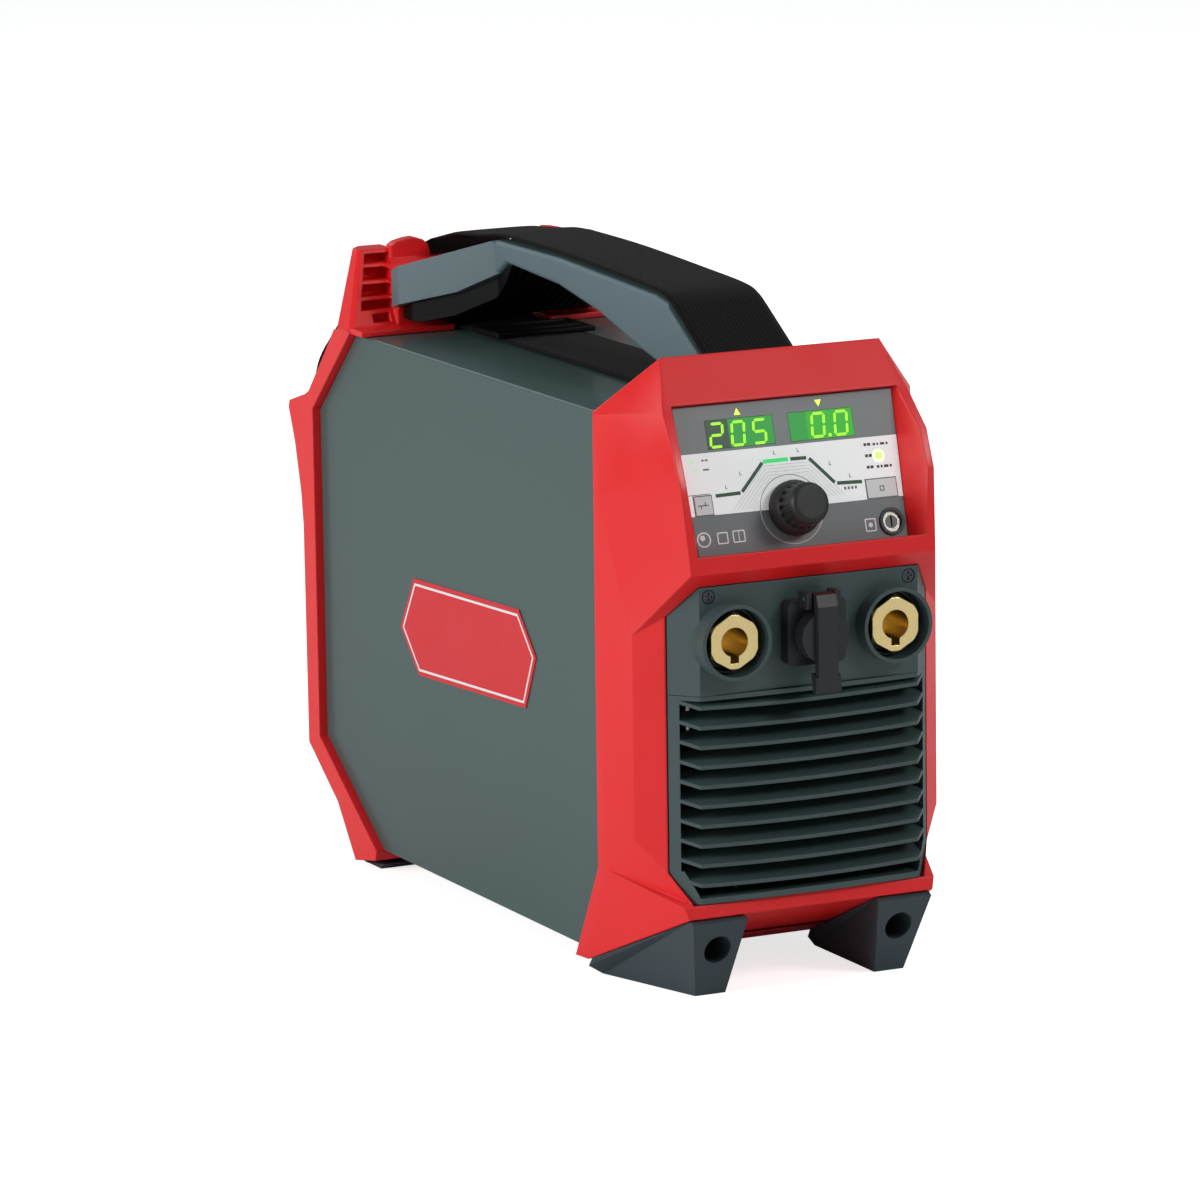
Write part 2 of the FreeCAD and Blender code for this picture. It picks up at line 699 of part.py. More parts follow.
# (x0, x1, y0, y1)
WINDOWS = [(-40.4, -6.4, 47.4, 60.6), (1.2, 33.8, 47.4, 60.6)]
MODE_KEY = (35.4, 50.6, 18.4, 27.0)
PROCESS_KEY = (-51.2, -42.4, 18.4, 27.0)
KEYS = [MODE_KEY, PROCESS_KEY]


def on_panel(obj):
    """Stand a whole flat-drawn piece up on the leaning panel plane."""
    if obj.TypeId in ("Part::Box", "Part::Cylinder"):
        obj = group(obj)
    return place(obj, 0, PANEL_FOOT_Y, PANEL_FOOT_Z, (1, 0, 0), PANEL_TILT)


def panel_sheet(z0, z1):
    """Panel layer with openings for the displays, keys, knob and lock."""
    layer = prism("XY", PANEL_OUTLINE, z0, z1, holes=[rect(*r) for r in WINDOWS + KEYS],
                  circles=[(KNOB_X, KNOB_Y, 5.0), (LOCK_X, LOCK_Y, 6.3)])
    layer.Placement = PANEL.multiply(at(0, 0, z0))
    return layer


def inset_box(area, inset_x, inset_y, z0, z1):
    x0, x1, y0, y1 = area
    return box(x0 + inset_x, x1 - inset_x, y0 + inset_y, y1 - inset_y, z0, z1)


def display_lenses():
    return on_panel(group(*[inset_box(w, 0.05, 0.05, -2.6, 0.0) for w in WINDOWS]))


def control_board():
    """Circuit board with two displays and two key switches on it."""
    board = cut(box(-47.5, 47.5, 4.0, 63.0, -14.0, -12.4),
                cyl("z", (LOCK_X, LOCK_Y), 6.6, -16, -10))
    displays = [inset_box(w, 1.0, 0.8, -12.5, -3.0) for w in WINDOWS]
    switches = [box(max(x0 + 3.0, -47.4), min(x1 - 3.4, 47.4), y0 + 2.0, y1 - 2.0, -12.5, -4.0)
                for x0, x1, y0, y1 in KEYS]
    return on_panel(fuse(board, *(displays + switches)))


def encoder_body():
    knob = (KNOB_X, KNOB_Y)
    block = box(KNOB_X - 6.5, KNOB_X + 6.5, KNOB_Y - 6.5, KNOB_Y + 6.5, -12.4, -6.0)
    body = fuse(block, cyl("z", knob, 4.6, -6.5, -1.0))
    return on_panel(cut(body, cyl("z", knob, 3.05, -11.0, 2.0)))


def adjusting_knob():
    """Turned body with a waist and fine finger flutes."""
    # (radius, height above the panel)
    profile = [(3.06, 1.5), (12.0, 1.5), (12.6, 2.2), (12.6, 5.0), (11.6, 7.5), (10.4, 9.5),
               (9.9, 12.0), (9.5, 18.0), (8.6, 19.6), (7.8, 20.0), (0, 20), (0, 15.2),
               (3.06, 15.2)]
    body = turned(profile)
    count, circle_r = 18, 10.62
    flutes = []
    for i in range(count):
        angle = 2 * math.pi * i / count
        centre = (circle_r * math.cos(angle), circle_r * math.sin(angle))
        flutes.append(cyl("z", centre, FLUTE_R, 9.0, 21.0))
    knob = cut(body, *flutes)
    knob.Placement = PANEL.multiply(at(number(KNOB_X), number(KNOB_Y), 0))
    return knob


def panel_key(area):
    return on_panel(inset_box(area, 0.15, 0.15, -3.0, 0.5))


def lock_housing():
    lock = (LOCK_X, LOCK_Y)
    return on_panel(cut(cyl("z", lock, LOCK_R, -16.0, 0.9), cyl("z", lock, 4.75, -14.0, 2.0)))


def lock_barrel():
    """Barrel with a key slot and a small centre hole."""
    lock = (LOCK_X, LOCK_Y)
    slot = box(LOCK_X - 0.4, LOCK_X + 0.4, LOCK_Y - 3.0, LOCK_Y + 3.0, -8.0, 0.0)
    return on_panel(cut(cyl("z", lock, LOCK_BARREL_R, -13.0, -0.4), slot,
                        cyl("z", lock, 1.3, -6.0, 0.0)))


# ---------------------------------------------------------------- feet
FOOT_FACES = face_table("""
    nose_in nose_out toe_out toe_in
    top_in top_out nose_out nose_in
    top_in top_out wing_out wing_in
    toe_out toe_in heel_in heel_out
    top_out nose_out toe_out
    top_out toe_out heel_out
    top_out heel_out tail_out
    top_out tail_out wing_out
    top_in nose_in toe_in
    top_in toe_in heel_in
    top_in heel_in tail_in
    top_in tail_in wing_in
    wing_in wing_out tail_out tail_in
    tail_in tail_out heel_out heel_in
""")


def front_foot(side):
    """Leaning front block that runs out and back into a low wing."""
    def top_z(y):
        return 38.3 - (y + 188.6) * 0.4438

    corners = dict(
        top_in=(33.2, -187.0, top_z(-187.0)), top_out=(60.8, -187.0, top_z(-187.0)),
        nose_in=(33.3, -189.8, 36.2), nose_out=(60.6, -189.8, 36.2),
        toe_out=(53.2, -176.2, 0.0), toe_in=(38.1, -176.2, 0.0),
        wing_in=(33.2, -123.0, top_z(-123.0)), wing_out=(78.9, -123.0, top_z(-123.0)),
        heel_out=(71.0, -118.0, 0.0), heel_in=(38.1, -118.0, 0.0),
        tail_out=(78.9, -119.5, 5.0), tail_in=(33.8, -119.5, 5.0))
    foot = poly_solid({k: (side * x, y, z) for k, (x, y, z) in corners.items()}, FOOT_FACES)
    bore_start = Vector(side * 46.1, -190.0, 22.6)
    foot = foot.cut(Part.makeCylinder(6.6, 46.0, bore_start, Vector(0, 1, 0)))
    # shallow pockets in the sole
    for y in (-168.0, -154.0, -140.0):
        foot = foot.cut(Part.makeBox(9.6, 8.0, 4.0, Vector(side * 46.2 - 4.8, y, -1.0)))
    return foot


def rear_feet():
    """Moulded blocks below the rear frame."""
    outline = [(118.4, 3.2), (122.0, 0.0), (150.0, 0.0), (163.5, 24.0), (157.6, 27.4),
               (138.4, 1.5)]
    return group(*[prism("YZ", outline, x0, x1) for x0, x1 in ((-74.0, -38.0), (38.0, 74.0))])


# ---------------------------------------------------------------- rear frame
# Side outlines: (y, z)
CHEEK = [(131.4, 262.4), (177.4, 219.5), (177.4, 56.6), (112.0, 11.6), (113.4, 6.6),
         (137.2, 2.2), (157.2, 27.6), (190.6, 51.4), (191.4, 160.0), (193.4, 176.0),
         (199.6, 200.0), (206.4, 216.6), (205.2, 220.0), (186.0, 225.6), (181.4, 228.0),
         (157.0, 254.0), (149.5, 262.4)]
REAR_MIDDLE = [(131.9, 262.4), (177.4, 219.5), (177.4, 56.6), (112.0, 11.6), (113.4, 6.6),
               (137.2, 2.2), (157.2, 27.6), (190.6, 51.4), (191.4, 160.0), (191.4, 216.0),
               (181.4, 228.0), (157.0, 254.0), (148.0, 266.0), (134.3, 266.0)]
REAR_CAVITY = [(128.0, 261.0), (176.0, 216.5), (184.4, 214.0), (184.4, 58.6), (154.0, 34.0),
               (134.6, 8.6), (118.0, 11.6), (112.0, 30.0)]
HORN_WALL = [(132.4, 262.5), (132.4, 289.5), (150.0, 294.0), (157.0, 294.0), (152.0, 275.0),
             (147.0, 262.5)]
# Horn sections at its bottom and top: (x, y)
HORN_BOTTOM_Z, HORN_TOP_Z = 262.4, 299.0
HORN_BOTTOM = [(77.8, 131.4), (79.6, 133.4), (78.8, 148.6), (74.0, 150.6), (52.5, 150.6),
               (52.5, 131.4)]
HORN_TOP = [(62.3, 154.6), (63.8, 156.2), (63.6, 162.0), (58.0, 168.0), (46.5, 168.0),
            (46.5, 154.6)]
# Front view of the lug: (x, z)
HORN_LUG = [(48.0, 284.0), (48.0, 300.4), (45.5, 302.0), (40.0, 303.3), (35.5, 303.7),
            (31.5, 302.4), (28.9, 300.0), (27.8, 296.5), (27.8, 284.0)]


def horn(side):
    """Horn that leans back and draws in towards the top."""
    lower, upper = HORN_BOTTOM, HORN_TOP
    if side < 0:
        lower, upper = lower[::-1], upper[::-1]
    corners = [(side * x, y, HORN_BOTTOM_Z) for x, y in lower]
    corners += [(side * x, y, HORN_TOP_Z) for x, y in upper]
    faces = [list(range(5, -1, -1)), list(range(6, 12))]
    for i in range(6):
        j = (i + 1) % 6
        faces.append([i, j, j + 6, i + 6])
    return free(poly_solid(corners, faces))


def horn_cells(side):
    """Column of cells in the face of a horn, divided by three thin ribs."""
    front_view = [(side * 73.0, 266.0), (side * 61.3, 297.0), (side * 48.4, 297.0),
                  (side * 54.6, 266.0)]
    side_view = [(100.0, 271.9), (100.0, 297.2), (163.0, 297.2), (147.3, 271.9)]
    column = common(prism("XZ", front_view, 100.0, 180.0), prism("YZ", side_view, -80.0, 80.0))
    ribs = [box(-80.0, 80.0, 90.0, 180.0, z - 0.75, z + 0.75) for z in (277.1, 284.3, 291.7)]
    return cut(column, *ribs)


def rear_frame():
    """Two cheeks, a hollow middle with a window, and two horns that hold the handle."""
    bodies = [prism("YZ", CHEEK, 71.0, FRAME_X),
              prism("YZ", CHEEK, -FRAME_X, -71.0),
              prism("YZ", REAR_MIDDLE, -71.2, 71.2),
              box(-79.0, 79.0, 118.4, 133.0, 262.3, 264.9)]
    for side in SIDES:
        bodies.append(horn(side))
        # rounded lug that carries the upper end of the horn inwards behind the handle
        bodies.append(prism("XZ", [(side * x, z) for x, z in HORN_LUG], 150.5, 157.0))
    bodies.append(prism("YZ", HORN_WALL, -53.5, 53.5))
    cuts = [prism("YZ", REAR_CAVITY, -72.3, 72.3),
            box(-64.0, 64.0, 170.0, 200.0, 62.0, 209.0)]
    for side in SIDES:
        slot_x = side * 61.0
        screw = (side * HANDLE_REAR_SCREW_X, HANDLE_REAR_SCREW_Z)
        cuts.append(horn_cells(side))
        cuts.append(box(slot_x - 4.6, slot_x + 4.6, 110.0, 141.0, 266.2, 270.2))
        # handle screws: clearance and head recess
        cuts.append(cyl("y", screw, 2.6, 120.0, 170.0))
        cuts.append(cyl("y", screw, 4.7, 137.4, 175.0))
    # passage for the webbing
    cuts.append(box(-30.0, 21.0, 110.0, 170.0, 262.2, 271.5))
    return cut(fuse(*bodies), *cuts)


# ---------------------------------------------------------------- handle
# Side outlines: (y, z)
HANDLE_SIDE = [(131.8, 291.6), (84.0, 309.4), (15.0, 309.4), (-84.0, 304.8), (-97.0, 302.6),
               (-132.6, 280.6), (-132.8, 266.2), (-120.0, 266.6), (-72.0, 277.0),
               (-27.0, 289.0), (16.0, 296.3), (72.0, 299.6), (100.0, 283.4), (131.8, 273.4)]
HOLLOW_SIDE = [(125.8, 260.0), (125.8, 288.0), (84.0, 303.4), (60.0, 303.4), (60.0, 260.0)]
INSERT_SIDE = [(131.6, 273.2), (131.6, 267.8), (118.0, 267.4), (104.0, 271.6), (88.0, 280.6),
               (78.0, 289.4), (70.4, 299.2), (72.0, 299.35), (100.0, 283.15)]
GROOVE_SIDE = [(133.0, 269.6), (133.0, 260.0), (60.0, 260.0), (60.0, 300.0), (71.6, 300.0),
               (79.4, 290.8), (89.2, 282.2), (104.8, 273.4), (118.2, 269.4)]
# Plan outlines, +X half: (x, y)
HANDLE_PLAN = [(HANDLE_X, -133.5), (HANDLE_X, 84.0), (57.0, 124.0), (57.0, 132.0)]
HOLLOW_PLAN = [(20.6, 55.0), (20.6, 86.0), (53.2, 125.9)]
INSERT_PLAN = [(21.6, 69.0), (21.6, 86.5), (51.0, 121.5), (51.0, 131.6)]
GROOVE_PLAN = [(18.4, 60.0), (18.4, 88.2), (46.6, 122.6), (46.6, 134.0)]
# Lower edge of each cross rib left in the hollow, from the front
RIB_BOTTOMS = (296.6, 294.0, 290.6, 286.6, 283.0, 280.0)


def handle_plan(half):
    return prism("XY", both_sides(half), 255.0, 320.0)


def carrying_handle():
    """Bar that widens to the rear, hollow below at its rear end."""
    handle = common(prism("YZ", HANDLE_SIDE, -60.0, 60.0), handle_plan(HANDLE_PLAN))
    hollow = common(prism("YZ", HOLLOW_SIDE, -60, 60), handle_plan(HOLLOW_PLAN))
    ribs = [box(-60.0, 60.0, 66.0 + 9.0 * i, 68.2 + 9.0 * i, z, 320.0)
            for i, z in enumerate(RIB_BOTTOMS)]
    hollow = cut(hollow, *ribs)
    screws = [cyl("y", (side * HANDLE_FRONT_SCREW_X, HANDLE_FRONT_SCREW_Z), 2.1, -134.0, -118.0)
              for side in SIDES]
    screws += [cyl("y", (side * HANDLE_REAR_SCREW_X, HANDLE_REAR_SCREW_Z), 2.1, 118.0, 140.0)
               for side in SIDES]
    handle = cut(handle, hollow, *screws)

    def long_grip_edge(bounds):
        on_side = bounds.XLength < 0.01 and abs(abs(bounds.XMin) - number(HANDLE_X)) < 0.01
        return on_side and bounds.YLength > 12 and bounds.YMin > -131

    rounded = fillet_edges(handle, 2.6, long_grip_edge)
    doc.recompute()
    # Guards the fillet: if it cannot be made, the handle keeps sharp edges.
    if rounded.Shape.isNull() or not rounded.Shape.isValid() or "Invalid" in rounded.State:
        doc.removeObject(rounded.Name)
        return handle
    return rounded


def handle_insert():
    """Closing insert under the rear half of the handle, ribbed lengthwise."""
    insert = common(prism("YZ", INSERT_SIDE, -60.0, 60.0), handle_plan(INSERT_PLAN))
    groove_plan = handle_plan(GROOVE_PLAN)
    grooves = []
    for i in range(21):
        x = -42.0 + 4.2 * i
        grooves.append(common(prism("YZ", GROOVE_SIDE, x - 1.0, x + 1.0), groove_plan))
    return cut(insert, *grooves)


# ---------------------------------------------------------------- carrying strap
def band(path, thickness=1.8):
    """Side outline of webbing that follows a path of (y, z) points."""
    upper, lower = [], []
    for i, (y, z) in enumerate(path):
        before = path[max(0, i - 1)]
        after = path[min(len(path) - 1, i + 1)]
        run, rise = after[0] - before[0], after[1] - before[1]
        length = math.hypot(run, rise)
        normal_y, normal_z = -rise / length, run / length
        upper.append((y + normal_y * thickness / 2, z + normal_z * thickness / 2))
        lower.append((y - normal_y * thickness / 2, z - normal_z * thickness / 2))
    return upper + lower[::-1]


def carrying_strap():
    """Webbing over the handle, down behind the rear frame and back along the cover."""
    upper = band([(-132.4, 282.4), (-97.4, 304.2), (-84.0, 306.4), (15.0, 311.0),
                  (84.0, 311.4), (106.0, 308.4), (137.0, 305.8), (158.0, 299.0),
                  (178.0, 280.0)])
    drop = band([(176.4, 281.4), (190.0, 262.0), (203.0, 238.0), (205.0, 226.0),
                 (199.0, 222.0)])
    back = band([(200.0, 222.6), (190.0, 232.0), (163.0, 263.0), (151.0, 267.6),
                 (140.0, 266.9), (126.0, 263.9)])
    upper_run = prism("YZ", upper, -23.0, 23.0)
    drop_run = prism("YZ", drop, -66.0, 23.0)
    back_run = prism("YZ", back, -66.0, 18.0)
    back_plan = [(-29.0, 100.0), (-29.0, 153.0), (-66.5, 178.0), (-66.5, 210.0),
                 (18.5, 210.0), (18.5, 100.0)]
    back_run = common(back_run, prism("XY", back_plan, 200.0, 330.0))
    lower_run = box(-28.0, 18.0, -132.2, 127.0, 262.4, 264.2)
    return fuse(upper_run, drop_run, back_run, lower_run)


def strap_buckle():
    return cut(box(-31.0, 21.0, 68.0, 98.0, 264.4, 266.9),
               box(-28.2, 18.2, 70.0, 79.0, 264.0, 270.0),
               box(-28.2, 18.2, 85.0, 96.0, 264.0, 270.0))


# ---------------------------------------------------------------- rear panel and fan
FAN = (0, FAN_Z)


def fan_square(half, y0, y1):
    """Square block centred on the fan axis."""
    return box(-half, half, y0, y1, FAN_Z - half, FAN_Z + half)


def rear_panel():
    """Sheet with the air inlet and holes for the switch, cable and gas inlet."""
    return prism("XZ", rect(-71.8, 71.8, 60.0, 216.0), 175.2, 177.2,
                 circles=[(0.0, FAN_Z, INLET_R), (*GLAND, 8.3), (*GAS, 6.6)],
                 holes=[rect(-58.0, -30.0, 179.0, 201.0)])


def fan_guard():
    """Four wire rings joined by two crossed wires."""
    y, wire_r, bar_half = 174.0, 0.9, 53.0
    wires = []
    for radius in (14.0, 24.0, 34.0, 44.0):
        ring = new("Part::Torus", "Torus")
        ring.Radius1 = radius
        ring.Radius2 = wire_r
        wires.append(place(ring, 0, y, FAN_Z, (1, 0, 0), 90))
    for angle in (45, 135):
        bar = new("Part::Cylinder", "Cyl")
        bar.Radius = wire_r
        bar.Height = 2 * bar_half
        cosine, sine = math.cos(math.radians(angle)), math.sin(math.radians(angle))
        start = Vector(-bar_half * cosine, y, number(FAN_Z) - bar_half * sine)
        turn = Rotation(Vector(0, 0, 1), Vector(cosine, 0, sine))
        bar.Placement = Placement(start, turn)
        wires.append(bar)
    return fuse(*wires)


def fan_housing():
    """Square ring with crossed spokes that carry the motor and its shaft."""
    ring = cut(fan_square(54.0, 147.0, 172.4), cyl("y", FAN, 50.0, 140.0, 180.0))
    return fuse(ring,
                box(-2.0, 2.0, 147.0, 150.0, FAN_Z - 51.0, FAN_Z + 51.0),
                box(-51.0, 51.0, 147.0, 150.0, FAN_Z - 2.0, FAN_Z + 2.0),
                cyl("y", FAN, 17.0, 147.0, 150.0),
                cyl("y", FAN, 12.0, 149.5, 160.0),
                cyl("y", FAN, 2.0, 159.0, 166.0))


def fan_rotor():
    """Hollow hub with seven pitched blades."""
    parts = [cut(cyl("y", FAN, 17.0, 150.6, 170.0),
                 cyl("y", FAN, 13.0, 150.0, 162.0),
                 cyl("y", FAN, 2.05, 150.0, 167.0))]
    count = 7
    pitch = Placement(Vector(0, 0, 0), Rotation(Vector(1, 0, 0), 38))
    for i in range(count):
        blade = new("Part::Box", "Box")
        blade.Length, blade.Width, blade.Height = 31.5, 2.2, 19.0
        turn = Placement(Vector(0, 160.2, number(FAN_Z)),
                         Rotation(Vector(0, 1, 0), -360.0 * i / count))
        blade.Placement = turn.multiply(pitch).multiply(at(16.0, -1.1, -9.5))
        parts.append(blade)
    return fuse(*parts)


def filter_holder():
    """Square frame with eleven slats and three upright ties."""
    frame = cut(box(-54.0, 54.0, 177.4, 189.0, FAN_Z - 53.8, FAN_Z + 53.8),
                fan_square(51.2, 177.0, 190.0))
    slats = [box(-52.0, 52.0, 183.0, 188.0, FAN_Z - 46.0 + 9.0 * i, FAN_Z - 44.4 + 9.0 * i)
             for i in range(11)]
    ties = [box(x - 1.0, x + 1.0, 182.2, 187.0, FAN_Z - 52.0, FAN_Z + 52.0)
            for x in (-26.0, 0.0, 26.0)]
    return fuse(frame, *(slats + ties))


# ---------------------------------------------------------------- mains and gas fittings
def mains_switch_body():
    shell = cut(fuse(box(-57.8, -30.2, 150.0, 178.6, 179.2, 200.8),
                     box(-60.6, -27.4, 177.3, 179.6, 176.8, 203.2)),
                box(-55.0, -33.0, 160.0, 182.0, 180.6, 199.4))
    return fuse(shell, cyl("x", ROCKER_PIN, ROCKER_PIN_R, -55.5, -32.5))


def mains_rocker():
    """Two faces at a slight angle, with a hole for the pin."""
    outline = [(162.0, 184.0), (162.0, 196.0), (179.0, 197.4), (181.4, 196.0),
               (179.4, 190.0), (180.4, 184.0), (178.4, 183.6)]
    return cut(prism("YZ", outline, -54.8, -33.2), cyl("x", ROCKER_PIN, 1.55, -60.0, -30.0))


def cable_gland():
    return cut(fuse(cyl("y", GLAND, 8.2, 168.0, 186.0),
                    cyl("y", GLAND, 12.0, 177.3, 183.0),
                    cyl("y", GLAND, 10.4, 183.0, 192.0)),
               cyl("y", GLAND, 5.1, 160.0, 200.0))


def mains_cable():
    x, z = GLAND
    return pipe([(x, 205.0, z), (x, 152.0, z), (x, 152.0, 222.0)], 5.0, 12.0)


def gas_inlet_connector():
    body = fuse(cyl("y", GAS, 6.5, 160.0, 180.0),
                prism("XZ", hexagon(*GAS, 10.4, 0), 177.3, 183.0),
                cyl("y", GAS, GAS_INLET_R, 183.0, 199.0))
    return cut(body, cyl("y", GAS, 3.2, 150.0, 205.0))


def gas_valve():
    """Block with a neck and round coil above it, bored for the plunger."""
    return cut(fuse(box(-12.0, 12.0, 138.0, 160.0, 181.0, 203.0),
                    cyl("z", VALVE, 8.0, 202.0, 207.0),
                    cyl("z", VALVE, 11.0, 206.0, 232.0)),
               cyl("z", VALVE, 4.05, 188.0, 229.0),
               cyl("y", GAS, 2.6, 130.0, 165.0))


def gas_hose():
    """From the gas valve forward to the +X current socket."""
    x, z = number(SOCKET_X), number(SOCKET_Z)
    return pipe([(0.0, 137.8, 192.0), (0.0, 120.0, 192.0), (62.0, 120.0, 205.0),
                 (62.0, -120.0, 205.0), (62.0, -120.0, 182.0), (x, -120.0, z),
                 (x, -147.9, z)], 4.0, 9.0)


# ---------------------------------------------------------------- power section
def power_board():
    return cut(box(-64.0, 64.0, BOARD_FRONT, BOARD_REAR, 146.0, 147.6),
               *[cyl("z", centre, 2.0, 140, 150) for centre in BOARD_PILLARS])


def board_pillars():
    return group(*[fuse(cyl("z", centre, 4.0, 13.7, 146.0), cyl("z", centre, 1.95, 146.0, 151.0))
                   for centre in BOARD_PILLARS])


def heat_sink():
    """Plate with fourteen fins hanging below it."""
    parts = [box(-50.0, 50.0, -88.0, 60.0, 130.0, 136.0)]
    for i in range(14):
        x = -49.0 + 7.38 * i
        parts.append(box(x, x + 2.0, -88.0, 60.0, 98.0, 130.5))
    return fuse(*parts)


def power_modules():
    return group(*[box(x, x + 34.0, y, y + 60.0, 136.0, 145.9)
                   for x in (-44.0, 10.0) for y in (-80.0, -8.0)])


def capacitors():
    return group(*[cyl("z", (x, 62.0), CAPACITOR_R, 147.6, 194.0) for x in (-36.0, 0.0, 36.0)])


def transformer_core():
    return cut(box(-66.0, -6.0, -70.0, -10.0, 20.0, 88.0),
               box(-54.0, -45.0, -72.0, -8.0, 32.0, 76.0),
               box(-27.0, -18.0, -72.0, -8.0, 32.0, 76.0))


def transformer_winding():
    return cut(box(-53.8, -18.2, -79.0, -1.0, 34.0, 74.0),
               box(-45.2, -26.8, -70.4, -9.6, 30.0, 80.0))


def choke_core():
    return cut(cyl("y", CHOKE_CENTRE, CHOKE_R, -66.0, -30.0),
               cyl("y", CHOKE_CENTRE, 13.0, -70, -20))


def choke_winding():
    """Twelve rectangular turns spaced round the choke core."""
    count = 12
    x, z = CHOKE_CENTRE
    turns = []
    for i in range(count):
        centre = Placement(Vector(x, 0, z), Rotation(Vector(0, 1, 0), -360.0 * i / count))
        outside = new("Part::Box", "Box")
        outside.Length, outside.Width, outside.Height = 20.0, 42.0, 4.6
        outside.Placement = centre.multiply(at(10.2, -69, -2.3))
        inside = new("Part::Box", "Box")
        inside.Length, inside.Width, inside.Height = 14.6, 36.6, 6.0
        inside.Placement = centre.multiply(at(12.7, -66.3, -3.0))
        turns.append(cut(outside, inside))
    return group(*turns)


def current_sensor():
    """Block round the line of the +X current socket."""
    block = box(SOCKET_X - 14.0, SOCKET_X + 14.0, -140.0, -128.0,
                SOCKET_Z - 14.3, SOCKET_Z + 14.3)
    return cut(block, cyl("y", (SOCKET_X, SOCKET_Z), 8.2, -150.0, -120.0))


def busbars():
    """Two angle bars behind the current sockets."""
    bars = []
    # (centre x, half width, bottom z, top z)
    for x, half, bottom, top in ((-SOCKET_X, 9.0, 152.0, 176.0), (SOCKET_X, 6.0, 136.0, 158.0)):
        bars.append(fuse(box(x - half, x + half, -147.9, -144.9, bottom, top),
                         box(x - half, x + half, -147.9, -110.0, bottom, bottom + 3.0)))
    return group(*bars)


def wiring_loom():
    return pipe([(-30.0, 0.0, 160.0), (-30.0, -60.0, 160.0), (-30.0, -60.0, 228.0),
                 (-30.0, -140.0, 228.0)], 3.5, 9.0)


def side_badges():
    """Thin blank plate on each side of the cover."""
    outline = [(-52.0, 112.0), (66.0, 106.5), (86.0, 127.0), (70.0, 153.0), (-46.0, 157.5),
               (-64.0, 138.0)]
    return group(prism("YZ", outline, -SIDE_X - 0.6, -SIDE_X),
                 prism("YZ", outline, SIDE_X, SIDE_X + 0.6))


# ---------------------------------------------------------------- fasteners
def cover_screw(centre):
    """Pan head outside, shank through the cover and tray flange."""
    return fuse(cyl("x", centre, COVER_SCREW_HEAD_R, SIDE_X, SIDE_X + 1.8),
                cyl("x", centre, COVER_SCREW_R, 70.0, 76.5))


def plate_screw(side):
    """Cross-slotted screw that holds the socket plate."""
    x, z = side * PLATE_SCREW_X, PLATE_SCREW_Z
    screw = fuse(cyl("y", (x, z), PLATE_SCREW_HEAD_R, -188.0, -186.6),
                 cyl("y", (x, z), PLATE_SCREW_R, -187.0, -174.0))
    return cut(screw,
               box(x - 0.45, x + 0.45, -188.5, -187.3, z - 2.0, z + 2.0),
               box(x - 2.0, x + 2.0, -188.5, -187.3, z - 0.45, z + 0.45))


def handle_screws(side):
    """Front and rear handle screw on one side."""
    front = (side * HANDLE_FRONT_SCREW_X, HANDLE_FRONT_SCREW_Z)
    rear = (side * HANDLE_REAR_SCREW_X, HANDLE_REAR_SCREW_Z)
    return [fuse(cyl("y", front, 4.2, -140.2, -136.6), cyl("y", front, 2.05, -137.0, -119.0)),
            fuse(cyl("y", rear, 4.2, 137.5, 141.0), cyl("y", rear, 2.05, 120.0, 138.0))]


def socket_nut(side):
    x = SOCKET_X * side
    return cut(prism("XZ", hexagon(number(x), number(SOCKET_Z), 15.0, 0), -171.9, -164.0),
               cyl("y", (x, SOCKET_Z), 10.45, -180, -150))


def gland_nut():
    return cut(prism("XZ", hexagon(*GLAND, 12.5, 0), 169.5, 175.1),
               cyl("y", GLAND, 8.25, 160.0, 180.0))


def fasteners():
    parts = [cover_screw(centre) for centre in COVER_SCREWS]
    parts += [plate_screw(side) for side in SIDES]
    for side in SIDES:
        parts += handle_screws(side)
    parts += [socket_nut(side) for side in SIDES]
    parts.append(gland_nut())
    return group(*parts)


# ---------------------------------------------------------------- all pieces
PIECES = []


def piece(label, obj):
    obj.Label = label
    PIECES.append(obj)


piece("housing_cover", housing_cover())
piece("base_tray", base_tray())
piece("front_frame", front_frame())
piece("socket_plate", socket_plate())
piece("front_grille", front_grille())
piece("current_socket_minus", current_socket(-1))
piece("current_socket_plus", current_socket(1))
piece("socket_insulators", socket_insulators())
piece("control_connector_housing", control_connector_housing())
piece("control_connector_insert", control_connector_insert())
piece("connector_hinge_pin", cyl("x", HINGE, HINGE_PIN_R, -8.6, 8.6))
piece("connector_cap", connector_cap())
piece("control_panel_foil", panel_sheet(-0.6, 0.0))
piece("control_panel_carrier", panel_sheet(-3.5, -0.6))
piece("display_lenses", display_lenses())
piece("control_board", control_board())
piece("encoder_body", encoder_body())
piece("encoder_shaft", on_panel(cyl("z", (KNOB_X, KNOB_Y), ENCODER_SHAFT_R, -9.8, 15.0)))
piece("adjusting_knob", adjusting_knob())
piece("mode_key", panel_key(MODE_KEY))
piece("process_key", panel_key(PROCESS_KEY))
piece("lock_housing", lock_housing())
piece("lock_barrel", lock_barrel())
piece("front_feet", free(Part.makeCompound([front_foot(side) for side in SIDES])))
piece("rear_feet", rear_feet())
piece("rear_frame", rear_frame())
piece("carrying_handle", carrying_handle())
piece("handle_insert", handle_insert())
piece("carrying_strap", carrying_strap())
piece("strap_buckle", strap_buckle())
piece("rear_panel", rear_panel())
piece("fan_guard", fan_guard())
piece("fan_housing", fan_housing())
piece("fan_rotor", fan_rotor())
piece("mains_switch_body", mains_switch_body())
piece("mains_rocker", mains_rocker())
piece("cable_gland", cable_gland())
piece("fasteners", fasteners())
piece("mains_cable", mains_cable())
piece("gas_inlet_connector", gas_inlet_connector())
piece("gas_valve", gas_valve())
